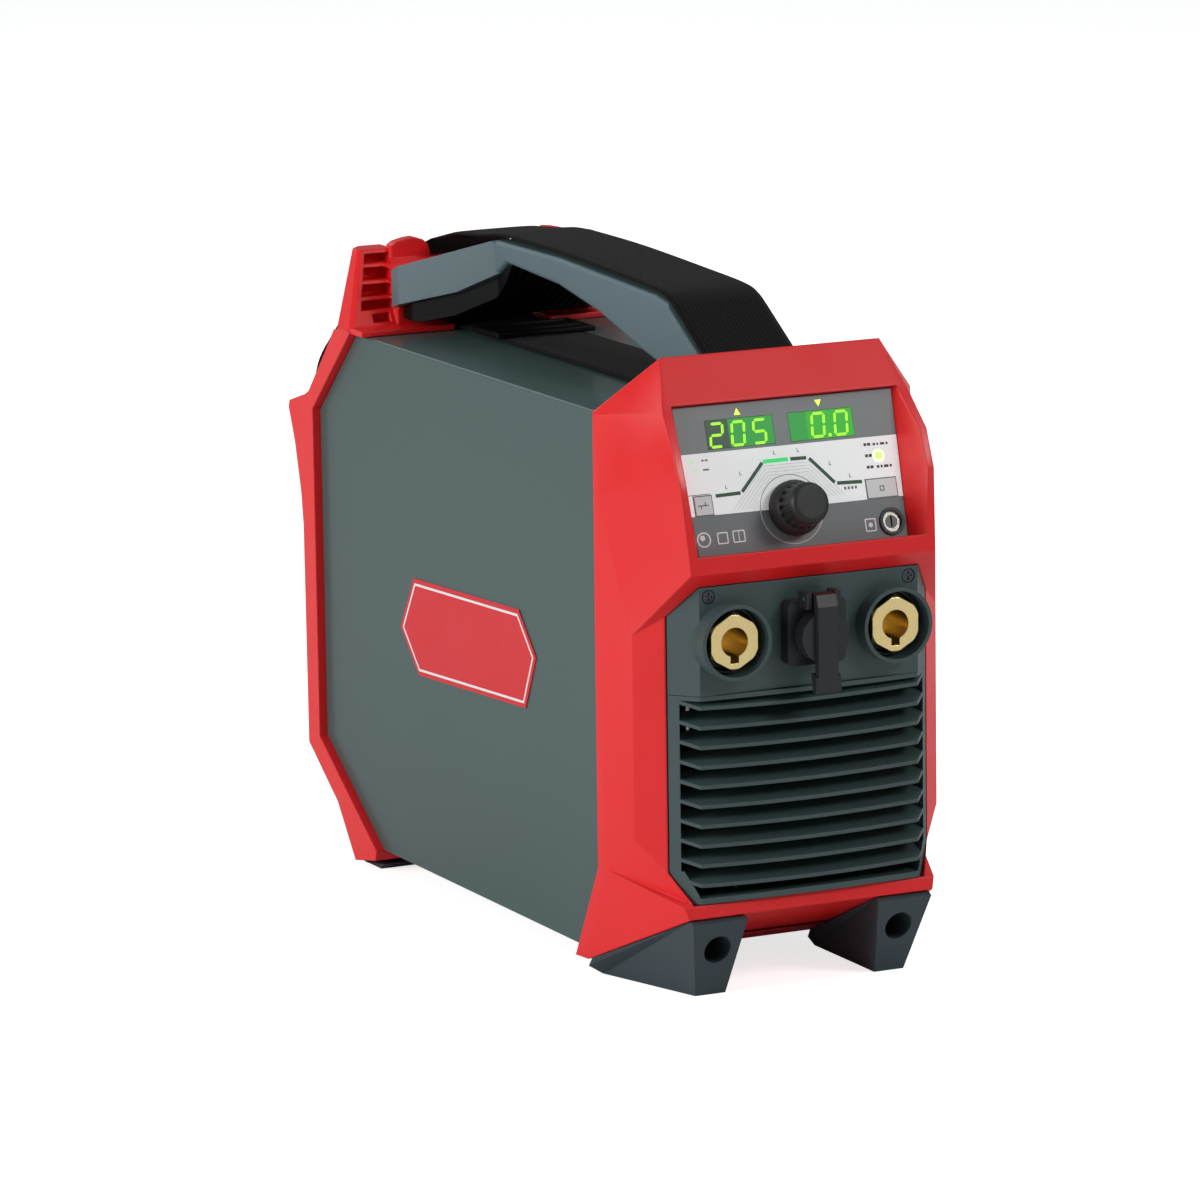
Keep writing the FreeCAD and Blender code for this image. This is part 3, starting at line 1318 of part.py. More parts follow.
piece("gas_valve_plunger", cyl("z", VALVE, PLUNGER_R, 195.0, 224.0))
piece("gas_hose", gas_hose())
piece("dust_filter", fan_square(51.0, 177.6, 181.6))
piece("filter_holder", filter_holder())
piece("power_board", power_board())
piece("board_pillars", board_pillars())
piece("heat_sink", heat_sink())
piece("power_modules", power_modules())
piece("capacitors", capacitors())
piece("transformer_core", transformer_core())
piece("transformer_winding", transformer_winding())
piece("choke_core", choke_core())
piece("choke_winding", choke_winding())
piece("hf_ignition_unit", box(10.0, 66.0, 4.0, 52.0, 13.8, 66.0))
piece("emc_filter", box(-50.0, -4.0, 66.0, 108.0, 13.8, 70.0))
piece("current_sensor", current_sensor())
piece("busbars", busbars())
piece("wiring_loom", wiring_loom())
piece("side_badges", side_badges())

# ---------------------------------------------------------------- check and write
doc.recompute()
faults = []
for obj in doc.Objects:
    states = set(obj.State)
    if "Invalid" in states or "Error" in states:
        faults.append(obj.Name + " " + ",".join(sorted(states)))
for obj in PIECES:
    shape = obj.Shape
    if shape.isNull() or not shape.isValid() or shape.Volume < 1.0 or not shape.Solids:
        faults.append("%s shape (%s)" % (obj.Label, obj.Name))
if faults:
    raise RuntimeError("not written: " + "; ".join(faults))
for obj in PIECES:
    obj.Shape.exportStep("parts/%s.step" % obj.Label)
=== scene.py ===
"""A portable power unit with current sockets, a gas inlet and a carrying strap.

It stands on the floor z = 0 with its width along X. The front, with the sloped control panel,
faces -Y, and the left side is at -X. This script gives them materials and soft edges, and adds
the panel print, webbing, filter mat, badge borders and stage. Printed outlines and the strap's
path are in mm; everything else is in metres.
"""
import math
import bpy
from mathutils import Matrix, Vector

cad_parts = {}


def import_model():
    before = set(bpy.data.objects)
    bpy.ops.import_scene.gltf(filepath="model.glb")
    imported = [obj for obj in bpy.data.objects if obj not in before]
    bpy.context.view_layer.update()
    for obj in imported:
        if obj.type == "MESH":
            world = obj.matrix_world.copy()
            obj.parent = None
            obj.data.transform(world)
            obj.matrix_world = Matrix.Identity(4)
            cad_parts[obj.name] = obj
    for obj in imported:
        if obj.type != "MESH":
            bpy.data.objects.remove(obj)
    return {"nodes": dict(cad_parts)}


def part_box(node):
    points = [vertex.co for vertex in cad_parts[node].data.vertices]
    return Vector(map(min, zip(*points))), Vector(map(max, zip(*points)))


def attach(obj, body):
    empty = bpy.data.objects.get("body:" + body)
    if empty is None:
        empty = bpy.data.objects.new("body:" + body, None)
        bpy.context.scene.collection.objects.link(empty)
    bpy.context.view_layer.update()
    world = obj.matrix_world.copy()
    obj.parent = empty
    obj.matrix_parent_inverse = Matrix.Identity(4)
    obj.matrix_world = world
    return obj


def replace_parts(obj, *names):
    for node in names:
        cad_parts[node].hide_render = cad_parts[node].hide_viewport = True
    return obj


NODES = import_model()["nodes"]
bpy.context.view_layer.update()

import bpy
import bmesh
from mathutils import Matrix, Vector

scene = bpy.context.scene
MM = 0.001


# ==========================================================================================
# Shader tools: procedural materials, with grain in object space
# ==========================================================================================
MATERIALS = {}


def srgb(rgb):
    """Linear RGBA from 0-255 sRGB."""
    linear = []
    for channel in rgb:
        channel = channel / 255.0
        low = channel <= 0.04045
        linear.append(channel / 12.92 if low else ((channel + 0.055) / 1.055) ** 2.4)
    return (*linear, 1.0)


def scaled(color, factor):
    return (color[0] * factor, color[1] * factor, color[2] * factor, 1.0)


class Shader:
    """A new material with one Principled BSDF, and short calls for the nodes that feed it."""

    def __init__(self, name):
        self.material = bpy.data.materials.new(name)
        self.material.use_nodes = True
        self.tree = self.material.node_tree
        self.tree.nodes.clear()
        output = self.add("OutputMaterial")
        self.principled = self.add("BsdfPrincipled")
        self.link(self.principled.outputs[0], output.inputs[0])
        self.coordinates = None
        MATERIALS[name] = self.material

    def add(self, kind):
        return self.tree.nodes.new("ShaderNode" + kind)

    def link(self, source, target):
        self.tree.links.new(source, target)

    def feed(self, socket, value):
        """Set a socket to a constant, or link it to another node's output."""
        if isinstance(value, (int, float, tuple)):
            socket.default_value = value
        else:
            self.link(value, socket)

    def coords(self, kind):
        if self.coordinates is None:
            self.coordinates = self.add("TexCoord")
        return self.coordinates.outputs[kind]

    def axes(self, kind):
        node = self.add("SeparateXYZ")
        self.link(self.coords(kind), node.inputs[0])
        return node.outputs

    def noise(self, scale, detail=2.0, roughness=0.5, stretch=None):
        node = self.add("TexNoise")
        node.inputs["Scale"].default_value = scale
        node.inputs["Detail"].default_value = detail
        node.inputs["Roughness"].default_value = roughness
        vector = self.coords("Object")
        if stretch:
            mapping = self.add("Mapping")
            mapping.inputs["Scale"].default_value = stretch
            self.link(vector, mapping.inputs[0])
            vector = mapping.outputs[0]
        self.link(vector, node.inputs["Vector"])
        return node.outputs["Fac"]

    def voronoi(self, scale):
        node = self.add("TexVoronoi")
        node.inputs["Scale"].default_value = scale
        self.link(self.coords("Object"), node.inputs["Vector"])
        return node.outputs["Distance"]

    def calc(self, operation, *values):
        node = self.add("Math")
        node.operation = operation
        for socket, value in zip(node.inputs, values):
            self.feed(socket, value)
        return node.outputs[0]

    def wave(self, value, period, shift=None):
        """|sin|: one hump per period along value."""
        angle = self.calc("MULTIPLY", value, math.pi / period)
        if shift is not None:
            angle = self.calc("ADD", angle, shift)
        return self.calc("ABSOLUTE", self.calc("SINE", angle))

    def remap(self, value, source, target):
        """Map the range source = (low, high) linearly onto target = (low, high)."""
        node = self.add("MapRange")
        for i, limit in enumerate((*source, *target)):
            node.inputs[i + 1].default_value = limit
        self.link(value, node.inputs[0])
        return node.outputs[0]

    def mix(self, factor, color_a, color_b):
        node = self.add("Mix")
        node.data_type = "RGBA"
        # Sockets 0, 6 and 7 are the factor and the two colours; output 2 is the colour.
        for i, value in ((0, factor), (6, color_a), (7, color_b)):
            self.feed(node.inputs[i], value)
        return node.outputs[2]

    def bump(self, height, distance, strength, edge=0.0):
        """Surface relief; edge is the radius in metres of rounding shaded onto sharp edges."""
        node = self.add("Bump")
        node.inputs["Strength"].default_value = strength
        node.inputs["Distance"].default_value = distance
        self.link(height, node.inputs["Height"])
        if edge > 0:
            bevel = self.add("Bevel")
            bevel.samples = 4
            bevel.inputs["Radius"].default_value = edge
            self.link(bevel.outputs[0], node.inputs["Normal"])
        self.link(node.outputs[0], self.principled.inputs["Normal"])

    def set(self, **inputs):
        """Principled inputs by name, with underscores for spaces."""
        for name, value in inputs.items():
            self.feed(self.principled.inputs[name.replace("_", " ")], value)


# ==========================================================================================
# Kinds of material
# ==========================================================================================
def plastic(name, rgb, roughness, grain, depth, vary, specular, edge, coat=0.0):
    """Moulded plastic: fine grain, and a soft tone change over centimetres."""
    shader = Shader(name)
    color = srgb(rgb)
    blotches = shader.noise(scale=14.0, detail=3.0)
    fine = shader.noise(scale=grain, detail=3.0, roughness=0.6)
    speck = shader.remap(fine, source=(0.35, 0.75),
                         target=(1.0 - 0.5 * vary, 1.0 + 0.5 * vary))
    tone = shader.add("HueSaturation")
    shader.link(shader.mix(blotches, scaled(color, 1.0 - vary), scaled(color, 1.0 + vary)),
                tone.inputs["Color"])
    shader.link(speck, tone.inputs["Value"])
    wear = shader.remap(shader.noise(scale=55.0, detail=2.0), source=(0.3, 0.7),
                        target=(roughness - 0.03, roughness + 0.04))
    shader.set(Base_Color=tone.outputs[0], Roughness=wear, IOR=1.5,
               Specular_IOR_Level=specular, Coat_Weight=coat, Coat_Roughness=0.12)
    shader.bump(fine, distance=depth, strength=0.6, edge=edge)
    return shader


def ink(name, rgb, roughness=0.5, vary=0.01):
    """Flat printed layer: almost no grain and no edge rounding."""
    return plastic(name, rgb, roughness, grain=2600.0, depth=1e-5, vary=vary,
                   specular=0.4, edge=0.0)


def paint(name, rgb, roughness, coat):
    """Powder coat on sheet metal: gloss with a slight orange-peel wave."""
    shader = Shader(name)
    color = srgb(rgb)
    peel = shader.noise(scale=520.0, detail=1.5, roughness=0.45)
    blotches = shader.noise(scale=7.0)
    shader.set(Base_Color=shader.mix(blotches, scaled(color, 0.95), scaled(color, 1.05)),
               Roughness=roughness, IOR=1.5, Coat_Weight=coat, Coat_Roughness=0.06)
    shader.bump(peel, distance=3e-5, strength=0.25, edge=0.0004)


def metal(name, rgb, roughness, stretch=None, edge=0.0003, vary=0.1, depth=2e-5, spread=0.09):
    """Bare metal; stretch scales the grain per axis, spread is the swing in roughness."""
    shader = Shader(name)
    color = srgb(rgb)
    grain = shader.noise(scale=900.0 if stretch else 1400.0, detail=3.0, roughness=0.6,
                         stretch=stretch)
    blotches = shader.noise(scale=60.0, detail=3.0)
    shader.set(Base_Color=shader.mix(blotches, scaled(color, 1.0 - vary),
                                     scaled(color, 1.0 + vary * 0.5)),
               Metallic=1.0,
               Roughness=shader.remap(grain, source=(0.3, 0.7),
                                      target=(roughness - spread, roughness + spread)))
    shader.bump(grain, distance=depth, strength=0.5, edge=edge)


def glow(name, rgb, strength, base=None):
    """Lit surface; without a base colour, the glow's own colour is darkened."""
    color = srgb(rgb)
    Shader(name).set(Base_Color=srgb(base) if base else scaled(color, 0.3), Roughness=0.3,
                     Emission_Color=color, Emission_Strength=strength)


def woven(name, valley, crest):
    """Woven band: cords along it and picks across it, from UVs in metres."""
    cord_pitch, pick_pitch = 0.00205, 0.00175
    shader = Shader(name)
    across, along = shader.axes("UV")[:2]
    cord = shader.wave(across, cord_pitch)
    row = shader.calc("FLOOR", shader.calc("MULTIPLY", across, 1.0 / cord_pitch))
    # Every other cord is shifted by half a pick.
    shift = shader.calc("MULTIPLY", shader.calc("MODULO", row, 2.0), math.pi / 2)
    pick = shader.wave(along, pick_pitch, shift)
    weave = shader.calc("MULTIPLY", shader.calc("POWER", cord, 0.6),
                        shader.calc("POWER", pick, 0.5))
    fuzz = shader.noise(scale=4200.0, detail=2.0, roughness=0.6)
    height = shader.calc("ADD", weave, shader.calc("MULTIPLY", fuzz, 0.35))
    factor = shader.remap(height, source=(0.35, 1.2), target=(0.0, 1.0))
    shader.set(Base_Color=shader.mix(factor, srgb(valley), srgb(crest)), Roughness=0.9,
               Sheen_Weight=0.04, Sheen_Roughness=0.5, Specular_IOR_Level=0.10)
    shader.bump(height, distance=0.00035, strength=0.9)


def foam(name, rgb):
    shader = Shader(name)
    color = srgb(rgb)
    cells = shader.voronoi(scale=900.0)
    shader.set(Base_Color=shader.mix(cells, scaled(color, 0.3), scaled(color, 1.3)),
               Roughness=0.95, Specular_IOR_Level=0.1)
    shader.bump(cells, distance=0.0006, strength=0.9)


def lens(name, rgb):
    """Glossy opaque cover."""
    shader = Shader(name)
    shader.set(Base_Color=srgb(rgb), Roughness=0.08, IOR=1.5, Coat_Weight=0.5,
               Coat_Roughness=0.04)
    shader.bump(shader.noise(scale=40.0, detail=1.0), distance=1e-5, strength=0.1)


def winding(name, rgb, pitch):
    """Wire turns stacked along Z."""
    shader = Shader(name)
    color = srgb(rgb)
    turns = shader.wave(shader.axes("Object")[2], pitch)
    shader.set(Base_Color=shader.mix(turns, scaled(color, 0.35), color), Metallic=0.9,
               Roughness=0.32)
    shader.bump(turns, distance=0.0005, strength=0.9)


# ==========================================================================================
# The materials
# ==========================================================================================
# name: sRGB, roughness, grain scale, grain depth (m), tone change, specular,
#       shaded edge radius (m), and clear coat where there is one
PLASTICS = {
    "housing_red": ((236, 30, 33), 0.34, 1700.0, 3e-5, 0.03, 0.5, 0.0012),
    "badge_red": ((216, 14, 30), 0.34, 300.0, 5e-6, 0.01, 0.35, 0.0003, 0.1),
    "badge_white": ((240, 240, 238), 0.3, 300.0, 5e-6, 0.01, 0.5, 0.0005),
    "dark_plastic": ((63, 81, 82), 0.42, 1500.0, 5e-5, 0.05, 0.5, 0.0005),
    "handle_plastic": ((92, 112, 118), 0.46, 1300.0, 6e-5, 0.04, 0.5, 0.0005),
    "black_plastic": ((30, 32, 34), 0.38, 1500.0, 4e-5, 0.06, 0.5, 0.0004),
    # The insert's near-black is partly the plastic's own black and partly painted shade for
    # the hollow under the handle.
    "insert_black": ((9, 10, 11), 0.5, 1400.0, 5e-5, 0.06, 0.15, 0.0005),
    "knob_rubber": ((30, 31, 32), 0.50, 1800.0, 5e-5, 0.06, 0.45, 0.0003),
    "rubber_black": ((58, 72, 77), 0.52, 1200.0, 6e-5, 0.05, 0.4, 0.0008),
    "cable_rubber": ((22, 22, 23), 0.55, 1200.0, 5e-5, 0.05, 0.4, 0.0),
    "key_face": ((222, 226, 226), 0.38, 2000.0, 1e-5, 0.01, 0.5, 0.0002),
    "ferrite": ((48, 48, 50), 0.6, 2200.0, 6e-5, 0.1, 0.5, 0.0005),
    "circuit_board": ((26, 92, 52), 0.32, 420.0, 6e-5, 0.12, 0.5, 0.0, 0.3),
}
for name, row in PLASTICS.items():
    plastic(name, *row)

ink("panel_foil_grey", (133, 140, 141), roughness=0.42, vary=0.02)
ink("panel_foil_lower", (118, 125, 127), roughness=0.42, vary=0.02)
ink("print_grey", (120, 124, 124))
ink("print_dark", (58, 62, 62))
ink("print_white", (236, 238, 238))
ink("print_line_grey", (192, 194, 194))
panel_white_painted_glow = ink("panel_white_painted_glow", (250, 252, 252), roughness=0.42)
# The white band's faint glow is painted brightness: it lifts the print above what the lamps
# give it.
panel_white_painted_glow.set(Emission_Color=(0.95, 1.0, 1.0, 1.0), Emission_Strength=0.14)

paint("sheet_slate", (64, 86, 85), roughness=0.42, coat=0.18)
paint("tray_zinc", (140, 144, 148), roughness=0.4, coat=0.1)

metal("brass", (246, 222, 158), roughness=0.24, stretch=(1.0, 1.0, 1.0), edge=0.0004,
      vary=0.04, depth=3e-6, spread=0.04)
metal("steel", (176, 178, 180), roughness=0.30)
metal("black_zinc", (84, 90, 94), roughness=0.38)
metal("zinc_steel", (160, 163, 168), roughness=0.36)
metal("chrome", (196, 190, 180), roughness=0.30, edge=0.0002, vary=0.05)
metal("chrome_core", (92, 90, 88), roughness=0.34, edge=0.0002, vary=0.05)
metal("aluminium", (190, 192, 195), roughness=0.32, stretch=(1.0, 18.0, 18.0))
metal("copper_bar", (214, 138, 96), roughness=0.26)
winding("enamelled_copper", (205, 112, 60), pitch=0.0016)

lens("display_lens", (38, 60, 44))
foam("filter_foam", (70, 70, 72))
woven("webbing", valley=(6, 6, 6), crest=(26, 26, 24))

# name: glow sRGB, strength, and base sRGB where it has its own
GLOWS = {
    "led_bar_lit": ((28, 196, 92), 1.0),
    "led_bar_dark": ((4, 66, 34), 0.45, (5, 34, 20)),
    "digit_lit": ((168, 255, 36), 1.05, (30, 60, 10)),
    "digit_face_lit": ((30, 172, 22), 0.95, (4, 22, 6)),
    "digit_face_dim": ((8, 150, 44), 0.95, (4, 22, 10)),
    "digit_face_off": ((44, 84, 54), 0.6, (24, 36, 28)),
    "led_spot_lit": ((170, 250, 96), 1.6),
    "led_halo": ((206, 240, 178), 0.75, (230, 240, 220)),
    "led_idle": ((176, 232, 186), 0.35, (200, 230, 205)),
    "unit_mark_lit": ((196, 240, 60), 1.7),
}
for name, row in GLOWS.items():
    glow(name, *row)


# ==========================================================================================
# CAD pieces: materials, and soft edges by modifiers
# ==========================================================================================
# material: the CAD pieces made of it
FINISHES = {
    "sheet_slate": ["housing_cover"],
    "tray_zinc": ["base_tray"],
    "black_zinc": ["fasteners"],
    "housing_red": ["front_frame", "rear_frame"],
    "dark_plastic": ["socket_plate", "front_grille", "rear_panel", "filter_holder",
                     "hf_ignition_unit"],
    "black_plastic": ["socket_insulators", "control_connector_housing",
                      "control_connector_insert", "connector_cap", "control_panel_carrier",
                      "lock_housing", "fan_housing", "fan_rotor", "mains_switch_body",
                      "mains_rocker", "cable_gland", "board_pillars", "power_modules",
                      "emc_filter", "current_sensor"],
    "brass": ["current_socket_minus", "current_socket_plus", "gas_inlet_connector",
              "gas_valve"],
    "steel": ["connector_hinge_pin", "encoder_shaft", "fan_guard", "gas_valve_plunger"],
    "zinc_steel": ["encoder_body"],
    "chrome": ["lock_barrel"],
    "panel_foil_grey": ["control_panel_foil"],
    "display_lens": ["display_lenses"],
    "key_face": ["mode_key", "process_key"],
    "knob_rubber": ["adjusting_knob"],
    "rubber_black": ["front_feet", "rear_feet"],
    "cable_rubber": ["mains_cable", "gas_hose", "wiring_loom"],
    "handle_plastic": ["carrying_handle"],
    # The handle insert and the buckle under the handle are near black: own black plus painted
    # shade.
    "insert_black": ["handle_insert", "strap_buckle"],
    "badge_red": ["side_badges"],
    "circuit_board": ["control_board", "power_board"],
    "aluminium": ["heat_sink", "capacitors"],
    "ferrite": ["transformer_core", "choke_core"],
    "enamelled_copper": ["transformer_winding", "choke_winding"],
    "copper_bar": ["busbars"],
}
# bevel width in metres: the pieces that have it; the rest only split their sharp edges
BEVELS = {
    0.0018: ["front_frame"],
    0.0012: ["carrying_handle", "front_feet", "rear_feet", "transformer_winding"],
    0.0010: ["hf_ignition_unit", "emc_filter"],
    0.0008: ["rear_frame", "strap_buckle", "transformer_core"],
    0.0006: ["housing_cover", "mains_rocker", "filter_holder", "choke_core"],
    0.0005: ["handle_insert", "front_grille", "connector_cap", "control_connector_housing"],
    0.0004: ["socket_plate", "socket_insulators"],
    0.0003: ["adjusting_knob", "current_socket_minus", "current_socket_plus", "side_badges"],
    0.0002: ["mode_key", "process_key", "heat_sink"],
}
REPLACED = ("carrying_strap", "dust_filter")
SHARP_ANGLE = math.radians(30.0)


def by_piece(groups):
    return {piece: value for value, pieces in groups.items() for piece in pieces}


def soften(piece, width):
    mesh = piece.data
    for name in ("custom_normal", "sharp_edge", "sharp_face"):
        if name in mesh.attributes:
            mesh.attributes.remove(mesh.attributes[name])
    mesh.polygons.foreach_set("use_smooth", [True] * len(mesh.polygons))
    weld = piece.modifiers.new("weld", "WELD")
    weld.merge_threshold = 0.000004
    if width:
        bevel = piece.modifiers.new("bevel", "BEVEL")
        bevel.width = width
        bevel.segments = 3
        bevel.limit_method = "ANGLE"
        bevel.angle_limit = SHARP_ANGLE
        bevel.harden_normals = True
        bevel.use_clamp_overlap = True
        bevel.miter_outer = "MITER_ARC"
    else:
        split = piece.modifiers.new("split", "EDGE_SPLIT")
        split.split_angle = SHARP_ANGLE
        split.use_edge_sharp = False


finish_of = by_piece(FINISHES)
bevel_of = by_piece(BEVELS)
for name, piece in NODES.items():
    if name in REPLACED:
        continue
    piece.data.materials.clear()
    piece.data.materials.append(MATERIALS[finish_of[name]])
    soften(piece, bevel_of.get(name))


# ==========================================================================================
# Building new pieces
# ==========================================================================================
# Panel plane: x runs along X, y up the slope, and the normal points forward and up.
SLOPE_BACK, SLOPE_UP = 0.29954, 0.95408
PANEL_Y, PANEL_Z = -0.1839, 0.2020
PANEL = Matrix(((1, 0, 0, 0),
                (0, SLOPE_BACK, -SLOPE_UP, PANEL_Y),
                (0, SLOPE_UP, SLOPE_BACK, PANEL_Z),
                (0, 0, 0, 1)))


def new_object(name, mesh, finish, body="root"):
    piece = bpy.data.objects.new(name, mesh)
    scene.collection.objects.link(piece)
    mesh.materials.clear()
    mesh.materials.append(MATERIALS[finish])
    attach(piece, body)
    return piece


def fill_mesh(mesh, bm):
    """Write the bmesh into the mesh, normals outward, and free it."""
    bmesh.ops.recalc_face_normals(bm, faces=bm.faces)
    bm.to_mesh(mesh)
    bm.free()
    return mesh


def flat(name, loops, layer, finish, place=PANEL, body="root"):
    """Thin plate from closed outlines in mm, holes by even-odd.

    layer is its (bottom, top) along the normal, in mm.
    """
    bottom, top = layer
    curve = bpy.data.curves.new(name, "CURVE")
    curve.dimensions = "2D"
    curve.fill_mode = "BOTH"
    for points in loops:
        spline = curve.splines.new("POLY")
        spline.points.add(len(points) - 1)
        for point, (x, y) in zip(spline.points, points):
            point.co = (x * MM, y * MM, 0.0, 1.0)
        spline.use_cyclic_u = True
    curve.extrude = (top - bottom) * MM / 2
    carrier = bpy.data.objects.new(name + "_tmp", curve)
    scene.collection.objects.link(carrier)
    bpy.context.view_layer.update()
    depsgraph = bpy.context.evaluated_depsgraph_get()
    mesh = bpy.data.meshes.new_from_object(carrier.evaluated_get(depsgraph))
    bpy.data.objects.remove(carrier)
    bpy.data.curves.remove(curve)
    mesh.transform(place @ Matrix.Translation((0, 0, (bottom + top) / 2 * MM)))
    mesh.name = name
    bm = bmesh.new()
    bm.from_mesh(mesh)
    bmesh.ops.remove_doubles(bm, verts=bm.verts, dist=1e-6)
    return new_object(name, fill_mesh(mesh, bm), finish, body)


def prisms(name, outlines, layer, finish):
    """Separate convex prisms on the panel; they may cross one another."""
    bm = bmesh.new()
    for points in outlines:
        bottom, top = ([bm.verts.new((x * MM, y * MM, z * MM)) for x, y in points]
                       for z in layer)
        bm.faces.new(bottom[::-1])
        bm.faces.new(top)
        for i in range(len(points)):
            j = (i + 1) % len(points)
            bm.faces.new([bottom[i], bottom[j], top[j], top[i]])
    mesh = fill_mesh(bpy.data.meshes.new(name), bm)
    mesh.transform(PANEL)
    return new_object(name, mesh, finish)


def circle(centre, radius, count=48):
    angles = [2 * math.pi * i / count for i in range(count)]
    return [(centre[0] + radius * math.cos(a), centre[1] + radius * math.sin(a))
            for a in angles]


def rect(x0, x1, y0, y1):
    return [(x0, y0), (x1, y0), (x1, y1), (x0, y1)]


def grown(box, margin):
    """The (x0, x1, y0, y1) box as an outline moved outward by margin."""
    x0, x1, y0, y1 = box
    return rect(x0 - margin, x1 + margin, y0 - margin, y1 + margin)


def round_rect(x0, x1, y0, y1, radius):
    steps = 5
    points = []
    for x, y, start in ((x1 - radius, y0 + radius, -90), (x1 - radius, y1 - radius, 0),
                        (x0 + radius, y1 - radius, 90), (x0 + radius, y0 + radius, 180)):
        for i in range(steps + 1):
            angle = math.radians(start + 90.0 * i / steps)
            points.append((x + radius * math.cos(angle), y + radius * math.sin(angle)))
    return points


def stroke(start, end, width):
    """Rectangle round a straight line."""
    dx, dy = end[0] - start[0], end[1] - start[1]
    length = math.hypot(dx, dy)
    nx, ny = -dy / length * width / 2, dx / length * width / 2
    return [(start[0] + nx, start[1] + ny), (start[0] - nx, start[1] - ny),
            (end[0] - nx, end[1] - ny), (end[0] + nx, end[1] + ny)]


# ==========================================================================================
# Control panel print, in mm on the panel plane
# ==========================================================================================
KNOB = (-3.4, 17.4)
LOCK = (45.6, 7.2)
KEY_RIGHT = (35.4, 50.6, 18.4, 27.0)
KEY_LEFT = (-51.2, -42.4, 18.4, 27.0)
LOWER_BAND = (0.3, 18.2)
WHITE_BAND = (18.2, 46.2)

# Layers: (bottom, top) along the panel's normal
WHITE_LAYER = (0.0, 0.05)
LOWER_LAYER = (0.0, 0.03)
PRINT_LAYER = (0.05, 0.08)
FRAME_LAYER = (0.05, 0.09)
LIGHT_LAYER = (0.05, 0.14)
LOWER_MARK_LAYER = (0.03, 0.07)
KEY_LAYER = (0.50, 0.54)
FACE_LAYER = (0.0, 0.03)
DIGIT_LAYER = (0.04, 0.12)


def half_width(y):
    """The panel widens by 2.6 to each side over its height of 67.2."""
    return 52.6 + 2.6 * y / 67.2


def band(low, high):
    return [(-half_width(low), low), (half_width(low), low),
            (half_width(high), high), (-half_width(high), high)]


# The white band carries the faint painted glow of its ink.
flat("panel_band_white", [band(*WHITE_BAND), rect(*KEY_RIGHT), rect(*KEY_LEFT),
                          circle(KNOB, 5.2)], WHITE_LAYER, "panel_white_painted_glow")
flat("panel_band_lower", [band(*LOWER_BAND), circle(LOCK, 6.4), circle(KNOB, 5.1)],
     LOWER_LAYER, "panel_foil_lower")
flat("knob_ring", [circle(KNOB, 15.9, 72), circle(KNOB, 15.35, 72)], (0.05, 0.10),
     "print_line_grey")

# Nested contour lines, each a left slope, a level top and a right slope
CONTOUR_COUNT = 8
CONTOUR_PITCH = 1.45
CONTOUR_INSET = 1.38            # sideways step per unit of pitch
CONTOUR_WIDTH = 0.2
CONTOUR_TOP = 39.2
CONTOUR_LEFT, CONTOUR_RIGHT = -26.9, 21.2     # x of the outermost slopes at CONTOUR_LEVEL
CONTOUR_LEVEL = 27.0
FOOT_LEFT, FOOT_RIGHT = 19.2, 21.5            # y of the lower ends
STEEP_LEFT, STEEP_RIGHT = 1.04, 1.11          # rise over run
KNOB_CLEARANCE = 16.4
CLIP_STEPS = 40


def clear_of_knob(start, end):
    """The parts of a line outside the knob's clearance circle, as pairs of ends."""
    runs = [[]]
    for i in range(CLIP_STEPS + 1):
        x = start[0] + (end[0] - start[0]) * i / CLIP_STEPS
        y = start[1] + (end[1] - start[1]) * i / CLIP_STEPS
        if math.hypot(x - KNOB[0], y - KNOB[1]) > KNOB_CLEARANCE:
            runs[-1].append((x, y))
        else:
            runs.append([])
    return [(run[0], run[-1]) for run in runs if len(run) > 1]


def contour_lines():
    lines = []
    for k in range(1, CONTOUR_COUNT + 1):
        inset = CONTOUR_PITCH * k
        top = CONTOUR_TOP - inset
        left = CONTOUR_LEFT + inset * CONTOUR_INSET
        right = CONTOUR_RIGHT - inset * CONTOUR_INSET
        corners = [(left - (CONTOUR_LEVEL - FOOT_LEFT) / STEEP_LEFT, FOOT_LEFT),
                   (left + (top - CONTOUR_LEVEL) / STEEP_LEFT, top),
                   (right - (top - CONTOUR_LEVEL) / STEEP_RIGHT, top),
                   (right + (CONTOUR_LEVEL - FOOT_RIGHT) / STEEP_RIGHT, FOOT_RIGHT)]
        for start, end in zip(corners, corners[1:]):
            lines += [stroke(*part, CONTOUR_WIDTH) for part in clear_of_knob(start, end)]
    return lines


prisms("contour_lines", contour_lines(), PRINT_LAYER, "print_line_grey")

# Six light bars over the contour lines, one of them lit: (start, end)
DARK_BARS = [((-40.1, 26.6), (-27.6, 26.9)), ((-26.7, 27.3), (-14.7, 39.4)),
             ((-0.5, 39.8), (7.5, 39.7)), ((8.9, 39.3), (20.0, 27.3)),
             ((21.1, 26.9), (33.7, 26.5))]
for i, (start, end) in enumerate(DARK_BARS):
    flat(f"light_bar_{i + 1}", [stroke(start, end, 1.6)], LIGHT_LAYER, "led_bar_dark")
flat("light_bar_lit", [stroke((-14.2, 39.8), (-1.7, 39.9), 1.8)], LIGHT_LAYER, "led_bar_lit")

# L-shaped ticks beside the bars
ticks = []
for x, y in ((-34.6, 30.2), (-26.6, 35.6), (-8.4, 43.4), (3.6, 43.4), (18.6, 36.2),
             (27.8, 29.8)):
    ticks += [rect(x - 0.18, x + 0.18, y - 0.9, y + 0.9),
              rect(x + 0.18, x + 0.9, y - 0.9, y - 0.55)]
prisms("curve_ticks", ticks, PRINT_LAYER, "print_grey")

